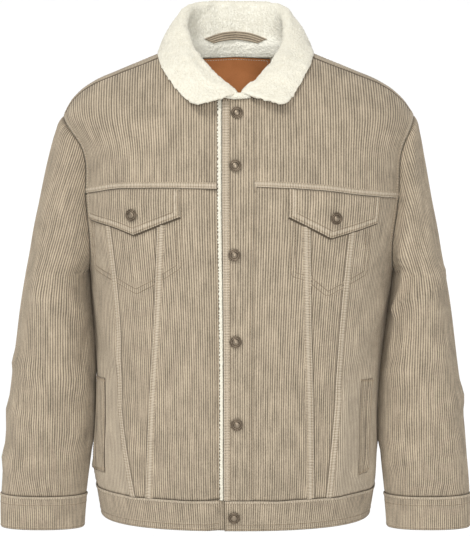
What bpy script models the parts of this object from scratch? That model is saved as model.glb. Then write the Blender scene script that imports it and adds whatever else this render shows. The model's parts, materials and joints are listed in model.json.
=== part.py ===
"""A corduroy jacket with a sherpa collar and lining, hollow and filled out as if it were worn.

The origin is between the high points of the shoulders. +X is the wearer's left, -Y is the front and
+Z is up. Every piece of cloth is a closed wall, made on one of three surfaces: the body, a sleeve or
the folded collar. A place on the body is given in cloth coordinates: how far across it lies from the
centre front, measured round the chest, and how far up it lies along the cloth.
"""

import math

import bmesh
import bpy
import numpy as np

# Sizes of the cloth.
SEAM_GAP = 0.0003
WALL = 0.0032
BAND_WALL = 0.0042
FLAP_WALL = 0.0024
FLEECE_WALL = 0.0030
UNDER_COLLAR_WALL = 0.0012
LEATHER_WALL = 0.0014
LABEL_GAP = 0.0016
FLAP_GAP = 0.0008
WELT_GAP = 0.0014

# Heights on the body.
WAIST_SEAM = -0.6000
HEM = -0.6435
UNDERARM = -0.3000
ARMHOLE_TURN = -0.2400
SHOULDER_DEPTH = 0.005

# The body's rings are squared ovals.
RING_POWER = 2.4
REFERENCE_WIDTH = 0.2080
REFERENCE_FRONT = 0.1500
REFERENCE_BACK = 0.1180
STRAIGHT_WIDTH = 0.2225
SPREAD_POWER = 4
FRONT_CAP = 0.0750
BACK_CAP = 0.0600
ARMHOLE_ANGLE = math.radians(70)
ARMHOLE_POWER = 2.2

# The neck and the front opening.
NECK_HALF_WIDTH = 0.0790
NECK_POWER = 2.2
FRONT_NECK_RISE = -0.0625
BACK_NECK_RISE = 0.0085
PLACKET_EDGE = -0.0165
PLACKET_SEAM = 0.0220
UNDERLAP_EDGE = 0.0160
UNDERLAP_STEP = 0.0052
UNDERLAP_START = -0.0460
UNDERLAP_END = -0.0250
PLACKET_LIFT = 0.0008
FLEECE_STRIP_WIDTH = 0.0045
FLEECE_CROWN = (-0.0012, 0.0004, 0.0002)
FLEECE_EDGE_WALL = 0.0036

# Buttons, flaps and welts.
BUTTON_RADIUS = 0.0083
BUTTON_HEIGHT = 0.0040
BUTTON_SIDES = 16
BUTTON_PROFILE = (
    (0.00, 0.00), (0.80, 0.00), (1.00, 0.35), (0.97, 0.62),
    (0.80, 0.70), (0.62, 0.62), (0.45, 0.82), (0.00, 1.00),
)
FLAP_LIFT = 0.0014
WELT_LIFT = 0.0018

# Cuffs and sleeves.
SLEEVE_POWER = 2.2
SLEEVE_END = -0.6090
CUFF_END = -0.6560
CUFF_LIFT = 0.0010
ELBOW_SEAM = 0.46
ELBOW_GAP = 0.0008
UNDERARM_SEAM_GAP = 0.0009
CUFF_END_SHARE = 0.985
SLEEVE_SHARE = 0.190
TAPER_POWER = 1.5
ARMHOLE_GAP = 0.0006
HEAD_DEPTH = 0.0680
HEAD_DEPTH_HEIGHT = -0.2200
HEAD_JOIN = 0.0160
BLEND_START = -0.3300
BLEND_END = -0.2400

LEFT = 1
RIGHT = -1
SIDE_NAMES = {LEFT: "left", RIGHT: "right"}


class Table:
    """A short table with named columns, read smoothly along its first column."""

    def __init__(self, columns, rows):
        self.values = dict(zip(columns, np.array(sorted(rows), dtype=float).T))
        self.along = self.values[columns[0]]

    def read(self, column, where):
        """The column's value at each place, on a curve through the rows."""
        values = self.values[column]
        slopes = np.gradient(values, self.along)
        place = np.clip(where, self.along[0], self.along[-1])
        row = np.clip(np.searchsorted(self.along, place) - 1, 0, len(values) - 2)
        span = self.along[row + 1] - self.along[row]
        t = (place - self.along[row]) / span
        ease = t * t * (3 - 2 * t)
        start_bend = t * (1 - t) ** 2 * span * slopes[row]
        end_bend = -(1 - t) * t * t * span * slopes[row + 1]
        return values[row] * (1 - ease) + values[row + 1] * ease + start_bend + end_bend


BODY = Table(
    ("height", "half_width", "drift", "front", "back"),
    (
        (-0.6435, 0.1868, 0.0000, 0.1290, 0.1180),
        (-0.6200, 0.1908, 0.0000, 0.1340, 0.1210),
        (-0.5980, 0.1938, 0.0000, 0.1385, 0.1225),
        (-0.5560, 0.1962, 0.0005, 0.1470, 0.1180),
        (-0.5000, 0.1950, 0.0020, 0.1515, 0.1100),
        (-0.4500, 0.1955, 0.0035, 0.1520, 0.1070),
        (-0.3500, 0.2030, 0.0065, 0.1520, 0.1130),
        (-0.3000, 0.2090, 0.0080, 0.1510, 0.1180),
        (-0.2500, 0.2165, 0.0087, 0.1490, 0.1230),
        (-0.2000, 0.2225, 0.0100, 0.1460, 0.1260),
        (-0.1300, 0.2300, 0.0100, 0.1310, 0.1210),
        (-0.0880, 0.2597, 0.0045, 0.1160, 0.1130),
        (-0.0500, 0.2620, 0.0020, 0.1010, 0.1000),
        (0.0300, 0.2620, 0.0000, 0.0820, 0.0820),
    ),
)

SHOULDER = Table(
    ("reach", "height"),
    (
        (0.0000, 0.0300),
        (0.0780, 0.0070),
        (0.1280, -0.0130),
        (0.1620, -0.0270),
        (0.1960, -0.0420),
        (0.2165, -0.0560),
        (0.2310, -0.0720),
        (0.2400, -0.0880),
        (0.2450, -0.1000),
    ),
)

# Where the yoke seam lies, on the wearer's right and left front, and across the back.
YOKE_SEAM = {
    RIGHT: Table(
        ("reach", "rise"),
        ((0.000, -0.1800), (0.118, -0.1802), (0.162, -0.1826), (0.200, -0.1884), (0.240, -0.1932)),
    ),
    LEFT: Table(
        ("reach", "rise"),
        ((0.000, -0.1760), (0.071, -0.1800), (0.118, -0.1846), (0.149, -0.1895), (0.237, -0.1990)),
    ),
}
BACK_YOKE_RISE = -0.1500

# The V seams, as reach from the centre line at each height.
V_SEAMS = {
    RIGHT: Table(
        ("height", "outer", "inner"),
        (
            (-0.600, 0.1345, 0.1215), (-0.480, 0.1515, 0.1165),
            (-0.360, 0.1550, 0.1090), (-0.190, 0.1725, 0.1025),
        ),
    ),
    LEFT: Table(
        ("height", "outer", "inner"),
        (
            (-0.600, 0.1220, 0.1060), (-0.480, 0.1320, 0.1040),
            (-0.360, 0.1400, 0.1010), (-0.190, 0.1560, 0.0990),
        ),
    ),
}

# Sleeve rings below the underarm, and the spread of the sleeve head above it.
SLEEVE = Table(
    ("height", "outer", "inner", "centre", "half_depth"),
    (
        (-0.6560, 0.3247, 0.2110, -0.0350, 0.0290),
        (-0.6300, 0.3247, 0.2090, -0.0350, 0.0300),
        (-0.6090, 0.3243, 0.2070, -0.0340, 0.0330),
        (-0.5870, 0.3228, 0.2045, -0.0330, 0.0400),
        (-0.5560, 0.3200, 0.2010, -0.0300, 0.0460),
        (-0.5200, 0.3172, 0.1990, -0.0270, 0.0500),
        (-0.4855, 0.3136, 0.1985, -0.0240, 0.0540),
        (-0.4150, 0.3050, 0.2025, -0.0170, 0.0645),
        (-0.3450, 0.2963, 0.2075, -0.0090, 0.0720),
        (-0.3000, 0.2890, 0.2102, -0.0040, 0.0745),
    ),
)
SLEEVE_HEAD = Table(
    ("height", "outer", "pinch"),
    (
        (-0.3000, 0.2890, 1.00),
        (-0.2750, 0.2841, 0.84),
        (-0.2500, 0.2800, 0.71),
        (-0.2050, 0.2706, 0.58),
        (-0.1500, 0.2596, 0.42),
        (-0.1100, 0.2500, 0.25),
        (-0.0960, 0.2456, 0.12),
        (-0.0880, 0.2400, 0.00),
    ),
)

# The collar, from the centre back (0) to a front end (1): its roll, how tight it is, and its outer edge.
COLLAR = Table(
    ("along", "roll_x", "roll_y", "roll_z", "radius", "edge_x", "edge_y", "edge_z"),
    (
        (0.00, 0.0000, 0.0830, 0.0685, 0.0085, 0.0000, 0.1020, -0.0030),
        (0.16, 0.0330, 0.0780, 0.0685, 0.0085, 0.0440, 0.0980, -0.0020),
        (0.32, 0.0600, 0.0560, 0.0640, 0.0085, 0.0820, 0.0780, 0.0010),
        (0.48, 0.0680, 0.0220, 0.0490, 0.0085, 0.1040, 0.0280, 0.0030),
        (0.60, 0.0650, -0.0060, 0.0270, 0.0080, 0.1045, -0.0180, -0.0060),
        (0.74, 0.0560, -0.0360, 0.0020, 0.0075, 0.0930, -0.0640, -0.0280),
        (0.87, 0.0350, -0.0690, -0.0260, 0.0065, 0.0760, -0.0970, -0.0520),
        (1.00, 0.0050, -0.0990, -0.0545, 0.0052, 0.0600, -0.1190, -0.0690),
    ),
)
COLLAR_DRIFT = 0.0050
COLLAR_BOW = 0.0025
COLLAR_CLEARANCE = 0.0062
STAND_INSET = 0.0045
STAND_LIFT = 0.0012
STAND_ROWS = 3
ROLL_ROWS = 6
FALL_ROWS = 4
NECK_END = 0.0040

# The hanger loop, as shares of the collar's length and of its stand, and the leather patch.
LOOP_EDGES = (
    {"reach": 0.150, "rise": 0.070, "arch": 0.070},
    {"reach": 0.210, "rise": 0.180, "arch": 0.165},
)
LOOP_SLACK = 0.001
LOOP_TAPE = 0.0016
LABEL_HALF_WIDTH = 0.0465
LABEL_TOP = -0.0066
LABEL_FOOT = -0.066

# The chest pocket flaps: the reach of both sides and the point, and how far each hangs.
FLAPS = {
    RIGHT: {"inner": 0.0735, "outer": 0.1975, "point": 0.1370},
    LEFT: {"inner": 0.0710, "outer": 0.1920, "point": 0.1290},
}
FLAP_DROPS = (0.037, 0.061, 0.034)
FLAP_BUTTONS = {RIGHT: (-0.1360, -0.2160), LEFT: (0.1320, -0.2200)}
FRONT_BUTTONS = (
    (0.0022, -0.0815),
    (-0.0004, -0.1500),
    (-0.0016, -0.2670),
    (0.0002, -0.3822),
    (0.0018, -0.4935),
    (-0.0020, -0.6235),
)
WELTS = {RIGHT: (-0.1900, -0.1760), LEFT: (0.1670, 0.1800)}
WELT_TOP = -0.4420
WELT_BOTTOM = -0.5740
FLAP_MIDDLE = -0.2050
WELT_MIDDLE = -0.5100
WELT_CROWN = (1.0, 1.15, 0.9)

# The largest folds of the body: two ends in cloth coordinates, a width and a height.
BODY_FOLDS = (
    {"start": (0.150, -0.590), "end": (0.160, -0.470), "width": 0.016, "height": 0.0040},
    {"start": (0.235, -0.585), "end": (0.215, -0.420), "width": 0.020, "height": 0.0045},
    {"start": (-0.150, -0.590), "end": (-0.165, -0.480), "width": 0.016, "height": 0.0035},
    {"start": (-0.240, -0.580), "end": (-0.225, -0.430), "width": 0.020, "height": 0.0045},
    {"start": (0.060, -0.590), "end": (0.050, -0.520), "width": 0.018, "height": 0.0030},
    {"start": (-0.070, -0.590), "end": (-0.060, -0.530), "width": 0.018, "height": 0.0025},
    {"start": (0.220, -0.345), "end": (0.180, -0.400), "width": 0.016, "height": 0.0035},
    {"start": (-0.220, -0.350), "end": (-0.190, -0.410), "width": 0.016, "height": 0.0030},
    {"start": (0.360, -0.340), "end": (0.430, -0.420), "width": 0.020, "height": 0.0050},
    {"start": (-0.360, -0.345), "end": (-0.420, -0.430), "width": 0.020, "height": 0.0050},
    {"start": (0.460, -0.590), "end": (0.470, -0.450), "width": 0.022, "height": 0.0045},
    {"start": (-0.450, -0.590), "end": (-0.465, -0.470), "width": 0.022, "height": 0.0040},
    {"start": (0.370, -0.590), "end": (0.375, -0.480), "width": 0.018, "height": 0.0035},
    {"start": (-0.360, -0.590), "end": (-0.370, -0.490), "width": 0.018, "height": 0.0035},
)

# The largest folds of a sleeve: places are a share of its half girth (front -1, back +1) and a height.
SLEEVE_FOLDS = {
    LEFT: (
        {"start": (-0.75, -0.345), "end": (-0.25, -0.300), "width": 0.014, "height": 0.0040},
        {"start": (-0.85, -0.440), "end": (-0.30, -0.405), "width": 0.013, "height": 0.0045},
        {"start": (-0.60, -0.500), "end": (0.05, -0.470), "width": 0.014, "height": 0.0040},
        {"start": (-0.80, -0.560), "end": (-0.20, -0.535), "width": 0.012, "height": 0.0040},
        {"start": (0.30, -0.420), "end": (0.85, -0.450), "width": 0.015, "height": 0.0045},
        {"start": (0.20, -0.520), "end": (0.80, -0.540), "width": 0.014, "height": 0.0040},
    ),
    RIGHT: (
        {"start": (-0.80, -0.360), "end": (-0.30, -0.320), "width": 0.014, "height": 0.0035},
        {"start": (-0.75, -0.455), "end": (-0.15, -0.425), "width": 0.014, "height": 0.0045},
        {"start": (-0.70, -0.520), "end": (0.00, -0.495), "width": 0.013, "height": 0.0040},
        {"start": (-0.55, -0.575), "end": (0.10, -0.555), "width": 0.012, "height": 0.0035},
        {"start": (0.25, -0.430), "end": (0.80, -0.465), "width": 0.015, "height": 0.0045},
        {"start": (0.25, -0.530), "end": (0.85, -0.550), "width": 0.014, "height": 0.0040},
    ),
}

FINISHES = {
    "corduroy": {"colour": (0.434, 0.352, 0.241, 1.0), "roughness": 0.90, "metallic": 0.0},
    "sherpa": {"colour": (0.930, 0.905, 0.780, 1.0), "roughness": 0.95, "metallic": 0.0},
    "leather": {"colour": (0.330, 0.085, 0.030, 1.0), "roughness": 0.55, "metallic": 0.0},
    "metal": {"colour": (0.360, 0.290, 0.215, 1.0), "roughness": 0.38, "metallic": 1.0},
}


def half_ring(depth):
    """Angles from the front or back of a ring to its side, with the length along the ring to each."""
    angles = np.linspace(0, math.pi / 2, 400)
    x = REFERENCE_WIDTH * np.sin(angles) ** (2 / RING_POWER)
    y = depth * np.cos(angles) ** (2 / RING_POWER)
    steps = np.hypot(np.diff(x), np.diff(y))
    return angles, np.concatenate(([0], np.cumsum(steps)))


FRONT_ANGLES, FRONT_LENGTHS = half_ring(REFERENCE_FRONT)
BACK_ANGLES, BACK_LENGTHS = half_ring(REFERENCE_BACK)
SIDE_SEAM = FRONT_LENGTHS[-1]
HALF_GIRTH = SIDE_SEAM + BACK_LENGTHS[-1]
RING_ANGLES = np.concatenate((FRONT_ANGLES, math.pi - BACK_ANGLES[::-1][1:]))
RING_LENGTHS = np.concatenate((FRONT_LENGTHS, HALF_GIRTH - BACK_LENGTHS[::-1][1:]))


def fold_rise(folds, across, up, scale=1.0):
    """How far folds lift the cloth: each is a soft ridge along a line, fading at its ends."""
    total = np.zeros(np.broadcast(across, up).shape)
    for fold in folds:
        start_x, start_y = fold["start"]
        run_x = (fold["end"][0] - start_x) * scale
        run_y = fold["end"][1] - start_y
        off_x = (across - start_x) * scale
        off_y = up - start_y
        length = math.hypot(run_x, run_y)
        along = (off_x * run_x + off_y * run_y) / length ** 2
        aside = (off_x * run_y - off_y * run_x) / length
        beyond = np.maximum(0, np.abs(along - 0.5) - 0.5) * length
        total += fold["height"] * np.exp(-(aside / fold["width"]) ** 2 - (beyond / fold["width"]) ** 2)
    return total


def body_x(wide, height):
    """The sideways place of a column of the body, which spreads only near the shoulder tips."""
    half = BODY.read("half_width", height)
    straight = np.where(height > -0.2, np.minimum(half, STRAIGHT_WIDTH), half)
    spread = (half - straight) * np.abs(wide) ** SPREAD_POWER
    return BODY.read("drift", height) * wide ** 2 + wide * (straight + spread)


def shoulder_height(x, height):
    """The height of the shoulder seam over a sideways place."""
    return SHOULDER.read("height", np.abs(x - BODY.read("drift", height)))


def wrap(across):
    """A cloth coordinate brought between one back centre and the other."""
    return (np.asarray(across, float) + HALF_GIRTH) % (2 * HALF_GIRTH) - HALF_GIRTH


def ring_place(across):
    """Shares of the ring's half width and depth at a place, and the height of its shoulder cap."""
    wrapped = wrap(across)
    angle = np.interp(np.abs(wrapped), RING_LENGTHS, RING_ANGLES)
    wide = np.where(wrapped < 0, -1, 1) * np.sin(angle) ** (2 / RING_POWER)
    deep = np.abs(np.cos(angle)) ** (2 / RING_POWER) * np.where(angle <= math.pi / 2, -1, 1)
    return wide, deep, np.where(deep < 0, FRONT_CAP, BACK_CAP)


def body_surface(across, up):
    """A point of the body's outer surface for each place in cloth coordinates."""
    across, up = np.broadcast_arrays(np.asarray(across, float), np.asarray(up, float))
    wide, deep, cap = ring_place(across)
    height = np.minimum(up, 0.0)
    turn = np.zeros_like(height)
    for _ in range(8):
        start = shoulder_height(body_x(wide, height), height) - cap
        turn = np.clip((up - start) / (cap * math.pi / 2), 0, 1)
        height = np.where(up < start, up, start + cap * np.sin(turn * math.pi / 2))
    depth = np.where(deep < 0, BODY.read("front", height), BODY.read("back", height))
    y = SHOULDER_DEPTH + depth * deep * np.cos(turn * math.pi / 2)
    return np.stack((body_x(wide, height), y, height), axis=-1)


def unit(vectors):
    """The vectors at length one."""
    return vectors / np.linalg.norm(vectors, axis=-1, keepdims=True)


def body_normal(across, up):
    """The outward direction of the body's surface."""
    step = 0.0008
    run = body_surface(across + step, up) - body_surface(across - step, up)
    climb = body_surface(across, up) - body_surface(across, up - step)
    return unit(np.cross(run, climb))


def body_points(across, up, lift=0.0):
    """Points that lie a given distance outside the folded body surface."""
    rise = fold_rise(BODY_FOLDS, across, up) + lift
    return body_surface(across, up) + body_normal(across, up) * rise[..., None]


def across_of(x, height):
    """The cloth coordinate of a front place that is known by its sideways distance."""
    height = np.asarray(height, float)
    half = BODY.read("half_width", height)
    wide = x / half
    for _ in range(3):
        wide = np.clip((x - BODY.read("drift", height) * wide ** 2) / half, -1, 1)
    angle = np.arcsin(np.abs(wide) ** (RING_POWER / 2))
    return np.sign(wide) * np.interp(angle, FRONT_ANGLES, FRONT_LENGTHS)


def armhole_angle(height):
    """The ring angle of the front armhole edge, which closes to the side seam at the underarm."""
    below = np.clip((ARMHOLE_TURN - height) / (ARMHOLE_TURN - UNDERARM), 0, 1)
    opening = (1 - below ** ARMHOLE_POWER) ** (1 / ARMHOLE_POWER)
    return math.pi / 2 - (math.pi / 2 - ARMHOLE_ANGLE) * opening


def armhole_across(height, back=False):
    """The cloth coordinate of the armhole edge or, below the underarm, of the side seam."""
    angle = armhole_angle(np.asarray(height, float))
    if back:
        return HALF_GIRTH - np.interp(angle, BACK_ANGLES, BACK_LENGTHS)
    return np.interp(angle, FRONT_ANGLES, FRONT_LENGTHS)


def shoulder_rise(across):
    """How far up the cloth the shoulder seam lies, over a front or back place."""
    wide, _, cap = ring_place(across)
    height = np.full(np.shape(across), -0.02)
    for _ in range(8):
        height = shoulder_height(body_x(wide, height), height)
    return height - cap + cap * math.pi / 2


def neck_rise(across):
    """How far up the cloth a panel reaches: to the neck seam, or beyond it to the shoulder seam."""
    wrapped = wrap(across)
    back = np.abs(wrapped) > SIDE_SEAM
    reach = np.where(back, HALF_GIRTH - np.abs(wrapped), np.abs(wrapped))
    corner = np.where(back, HALF_GIRTH - NECK_HALF_WIDTH, NECK_HALF_WIDTH) * np.sign(wrapped)
    lowest = np.where(back, BACK_NECK_RISE, FRONT_NECK_RISE)
    highest = shoulder_rise(corner)
    share = np.clip(reach / NECK_HALF_WIDTH, 0, 1)
    curve = highest - (highest - lowest) * (1 - share ** NECK_POWER) ** (1 / NECK_POWER)
    return np.where(reach < NECK_HALF_WIDTH, curve, shoulder_rise(across))


def yoke_rise(side, across):
    """How far up one front the yoke seam lies."""
    return YOKE_SEAM[side].read("rise", np.maximum(side * across, 0))


def make_finish(name):
    """A plain finish of one colour, roughness and metallic value."""
    settings = FINISHES[name]
    material = bpy.data.materials.new(name)
    material.use_nodes = True
    shader = material.node_tree.nodes["Principled BSDF"]
    shader.inputs["Base Color"].default_value = settings["colour"]
    shader.inputs["Roughness"].default_value = settings["roughness"]
    shader.inputs["Metallic"].default_value = settings["metallic"]
    material.diffuse_color = settings["colour"]
    return material


def add_object(name, form, finish):
    """An object of one mesh, smooth shaded, with a finish of its own."""
    bmesh.ops.recalc_face_normals(form, faces=form.faces[:])
    if form.calc_volume(signed=True) < 0:
        bmesh.ops.reverse_faces(form, faces=form.faces[:])
    mesh = bpy.data.meshes.new(name)
    form.to_mesh(mesh)
    form.free()
    mesh.shade_smooth()
    mesh.set_sharp_from_angle(angle=math.radians(40))
    mesh.materials.append(make_finish(finish))
    piece = bpy.data.objects.new(name, mesh)
    bpy.context.scene.collection.objects.link(piece)
    return piece


def cloth_wall(name, outer, inner, finish="corduroy"):
    """A closed wall between two sheets of points, rows by columns."""
    rows, columns = outer.shape[:2]
    form = bmesh.new()
    bmesh.ops.create_grid(form, x_segments=columns - 1, y_segments=rows - 1, size=1.0)
    tag = form.verts.layers.int.new("place")
    order = sorted(form.verts, key=lambda vert: (round(vert.co.y, 5), round(vert.co.x, 5)))
    for place, vert in enumerate(order):
        vert[tag] = place
    grown = bmesh.ops.extrude_face_region(form, geom=form.faces[:])
    far_side = {item for item in grown["geom"] if isinstance(item, bmesh.types.BMVert)}
    outer_list = outer.reshape(-1, 3)
    inner_list = inner.reshape(-1, 3)
    for vert in form.verts:
        sheet = outer_list if vert in far_side else inner_list
        vert.co = sheet[vert[tag]]
    return add_object(name, form, finish)


def spaced(start, end, step):
    """Even places from start to end, about a step apart."""
    count = max(1, round(abs(end - start) / step))
    return np.linspace(start, end, count + 1)


def panel_grid(left, right, bottom, top, columns, heights):
    """Cloth coordinates of a panel between two side edges, a lower edge and an upper edge.

    left and right give the across of a side edge at a height, bottom and top give the rise of an end
    edge. heights are the rows on the side edges, and columns are shares of the width.
    """
    share = (heights - heights[0]) / (heights[-1] - heights[0])
    sides = []
    for edge in (left, right):
        up = heights.copy()
        for _ in range(4):
            across = edge(up) + np.zeros_like(up)
            up = bottom(across) + share * (top(across) - bottom(across))
        sides.append(across)
    across = sides[0][:, None] * (1 - columns) + sides[1][:, None] * columns
    up = bottom(across) + share[:, None] * (top(across) - bottom(across))
    return across, up


def body_wall(name, across, up, lift=0.0, wall=WALL, finish="corduroy"):
    """A wall on the body's surface over a grid of cloth coordinates."""
    outer = body_points(across, up, lift)
    inner = body_points(across, up, lift - wall)
    return cloth_wall(name, outer, inner, finish)


def underlap(across):
    """How far the right front steps in, so that it passes under the left front."""
    share = np.clip((across - UNDERLAP_START) / (UNDERLAP_END - UNDERLAP_START), 0, 1)
    return -UNDERLAP_STEP * share * share * (3 - 2 * share)


def level(height):
    """An end edge that runs level."""
    return lambda across: height + 0 * across


def upright(across):
    """A side edge that runs straight up the cloth."""
    return lambda up: across + 0 * up


def v_seam(side, which, shift=0.0):
    """A side edge along one of the V seams."""
    table = V_SEAMS[side]
    return lambda up: across_of(side * table.read(which, up), up) + shift


def lower_heights():
    """The rows of a lower panel, closer together beside the foot of the armhole."""
    below = spaced(WAIST_SEAM, UNDERARM, 0.034)
    above = np.array((-0.2965, -0.288, -0.274, -0.257, -0.240, -0.215, -0.190))
    return np.concatenate((below, above))


def build_lower_fronts():
    """The side, middle and centre panels of both fronts, from the waist seam to the yoke seam."""
    half_gap = SEAM_GAP / 2
    bottom = level(WAIST_SEAM + half_gap)

    def yoke_edge(side):
        return lambda across: yoke_rise(side, across) - half_gap

    def armhole_edge(side):
        return lambda up: side * (armhole_across(up) - half_gap)

    heights = lower_heights()
    for side, word in SIDE_NAMES.items():
        spans = {
            "front_side": (armhole_edge(side), v_seam(side, "outer", side * half_gap), spaced(0, 1, 0.20)),
            "front_middle": (
                v_seam(side, "outer", -side * half_gap), v_seam(side, "inner", side * half_gap),
                spaced(0, 1, 0.34)),
        }
        for name, (far, near, columns) in spans.items():
            edges = (near, far) if side == LEFT else (far, near)
            grid = panel_grid(*edges, bottom, yoke_edge(side), columns, heights)
            body_wall(f"{name}_{word}", *grid)
    left_edges = (upright(PLACKET_SEAM + half_gap), v_seam(LEFT, "inner", -half_gap))
    grid = panel_grid(*left_edges, bottom, yoke_edge(LEFT), spaced(0, 1, 0.25), heights)
    body_wall("front_centre_left", *grid)
    right_edges = (v_seam(RIGHT, "inner", half_gap), upright(UNDERLAP_EDGE))
    columns = np.array((0.0, 0.27, 0.54, 0.64, 0.76, 1.0))
    across, up = panel_grid(*right_edges, bottom, yoke_edge(RIGHT), columns, heights)
    body_wall("front_centre_right", across, up, underlap(across))


def yoke_columns(inner, outer):
    """Columns of a yoke half as shares, with one on the neck's corner."""
    neck = spaced(inner, NECK_HALF_WIDTH, 0.016)
    shoulder = spaced(NECK_HALF_WIDTH, outer, 0.022)
    places = np.concatenate((neck, shoulder[1:]))
    return (places - inner) / (outer - inner)


def build_front_yokes():
    """The two front yokes, from the yoke seam up to the neck and the shoulder seam."""
    half_gap = SEAM_GAP / 2
    edge = float(armhole_across(ARMHOLE_TURN)) - half_gap
    heights = spaced(-0.18, 0.0, 0.022)

    def yoke_edge(side):
        return lambda across: yoke_rise(side, across) + half_gap

    def top(across):
        return neck_rise(across) - half_gap

    columns = yoke_columns(PLACKET_SEAM + half_gap, edge)
    sides = (upright(PLACKET_SEAM + half_gap), upright(edge))
    body_wall("front_yoke_left", *panel_grid(*sides, yoke_edge(LEFT), top, columns, heights))
    lap = spaced(-UNDERLAP_EDGE, -UNDERLAP_END, 0.02)
    step = spaced(-UNDERLAP_END, -UNDERLAP_START, 0.012)
    rest = yoke_columns(-UNDERLAP_START, edge) * (edge + UNDERLAP_START) - UNDERLAP_START
    places = -np.concatenate((lap, step[1:], rest[1:]))[::-1]
    columns = (places - places[0]) / (places[-1] - places[0])
    sides = (upright(places[0]), upright(places[-1]))
    across, up = panel_grid(*sides, yoke_edge(RIGHT), top, columns, heights)
    body_wall("front_yoke_right", across, up, underlap(across))


def build_back():
    """The back yoke and the back body."""
    half_gap = SEAM_GAP / 2
    near = float(armhole_across(ARMHOLE_TURN, back=True)) + half_gap
    far = 2 * HALF_GIRTH - near

    def back_top(across):
        return neck_rise(across) - half_gap

    corner = HALF_GIRTH - NECK_HALF_WIDTH
    shoulder = spaced(near, corner, 0.022)
    neck = spaced(corner, HALF_GIRTH, 0.020)
    half = np.concatenate((shoulder, neck[1:]))
    places = np.concatenate((half, (2 * HALF_GIRTH - half[::-1])[1:]))
    columns = (places - near) / (far - near)
    bottom = level(BACK_YOKE_RISE + half_gap)
    grid = panel_grid(upright(near), upright(far), bottom, back_top, columns, spaced(-0.15, 0.0, 0.019))
    body_wall("back_yoke", *grid)

    def left_edge(up):
        return armhole_across(up, back=True) + half_gap

    def right_edge(up):
        return 2 * HALF_GIRTH - armhole_across(up, back=True) - half_gap

    heights = np.concatenate((lower_heights()[:-1], (-0.180, -0.150)))
    ends = (level(WAIST_SEAM + half_gap), level(BACK_YOKE_RISE - half_gap))
    grid = panel_grid(left_edge, right_edge, *ends, spaced(0, 1, 0.056), heights)
    body_wall("back_body", *grid)


def build_waistband():
    """The waistband in three lengths: the right end passes under the left one at the front."""
    half_gap = SEAM_GAP / 2
    heights = np.linspace(HEM, WAIST_SEAM - SEAM_GAP, 3)
    spans = {
        "waistband_left": (PLACKET_EDGE, SIDE_SEAM - half_gap, 0.0),
        "waistband_right": (-SIDE_SEAM + half_gap, UNDERLAP_EDGE, 1.0),
        "waistband_back": (SIDE_SEAM + half_gap, 2 * HALF_GIRTH - SIDE_SEAM - half_gap, 0.0),
    }
    for name, (start, end, lapped) in spans.items():
        places = spaced(start, end, 0.022)
        if lapped:
            places = np.concatenate((spaced(start, UNDERLAP_START, 0.022), (-0.0355,),
                                     spaced(UNDERLAP_END, end, 0.02)))
        across, up = np.meshgrid(places, heights)
        body_wall(name, across, up, PLACKET_LIFT + lapped * underlap(across), BAND_WALL)


def build_placket():
    """The buttoned band of the left front and the sherpa edge that shows beside it."""
    half_gap = SEAM_GAP / 2
    heights = spaced(-0.60, -0.07, 0.030)
    bottom = level(WAIST_SEAM + half_gap)

    def top(across):
        return neck_rise(across) - half_gap

    sides = (upright(PLACKET_EDGE), upright(PLACKET_SEAM - half_gap))
    grid = panel_grid(*sides, bottom, top, spaced(0, 1, 0.34), heights)
    body_wall("front_placket", *grid, PLACKET_LIFT, WALL + PLACKET_LIFT)
    outer_edge = PLACKET_EDGE - SEAM_GAP
    sides = (upright(outer_edge - FLEECE_STRIP_WIDTH), upright(outer_edge))
    across, up = panel_grid(*sides, bottom, top, np.array((0.0, 0.5, 1.0)), heights)
    outer = body_points(across, up, np.array(FLEECE_CROWN))
    inner = body_points(across, up, FLEECE_CROWN[1] - FLEECE_EDGE_WALL)
    cloth_wall("front_edge_fleece", outer, inner, "sherpa")


def armhole_place(side, height):
    """The armhole's distance from the centre plane, its middle depth and its half span at a height."""
    angle = armhole_angle(height)
    wide = side * np.sin(angle) ** (2 / RING_POWER)
    deep = np.abs(np.cos(angle)) ** (2 / RING_POWER)
    x = body_x(wide, height)
    ends = []
    for column, cap, sign in (("front", FRONT_CAP, -1), ("back", BACK_CAP, 1)):
        start = shoulder_height(x, height) - cap
        climb = np.clip((height - start) / cap, 0, 1)
        ends.append(SHOULDER_DEPTH + sign * BODY.read(column, height) * deep * np.sqrt(1 - climb ** 2))
    return side * x, (ends[0] + ends[1]) / 2, (ends[1] - ends[0]) / 2


def shoulder_tip(side):
    """The height at which the armhole edge meets the shoulder seam."""
    heights = np.linspace(-0.12, -0.06, 601)
    x = body_x(side * np.sin(armhole_angle(heights)) ** (2 / RING_POWER), heights)
    return float(heights[np.argmin(np.abs(shoulder_height(x, heights) - heights))])


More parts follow.
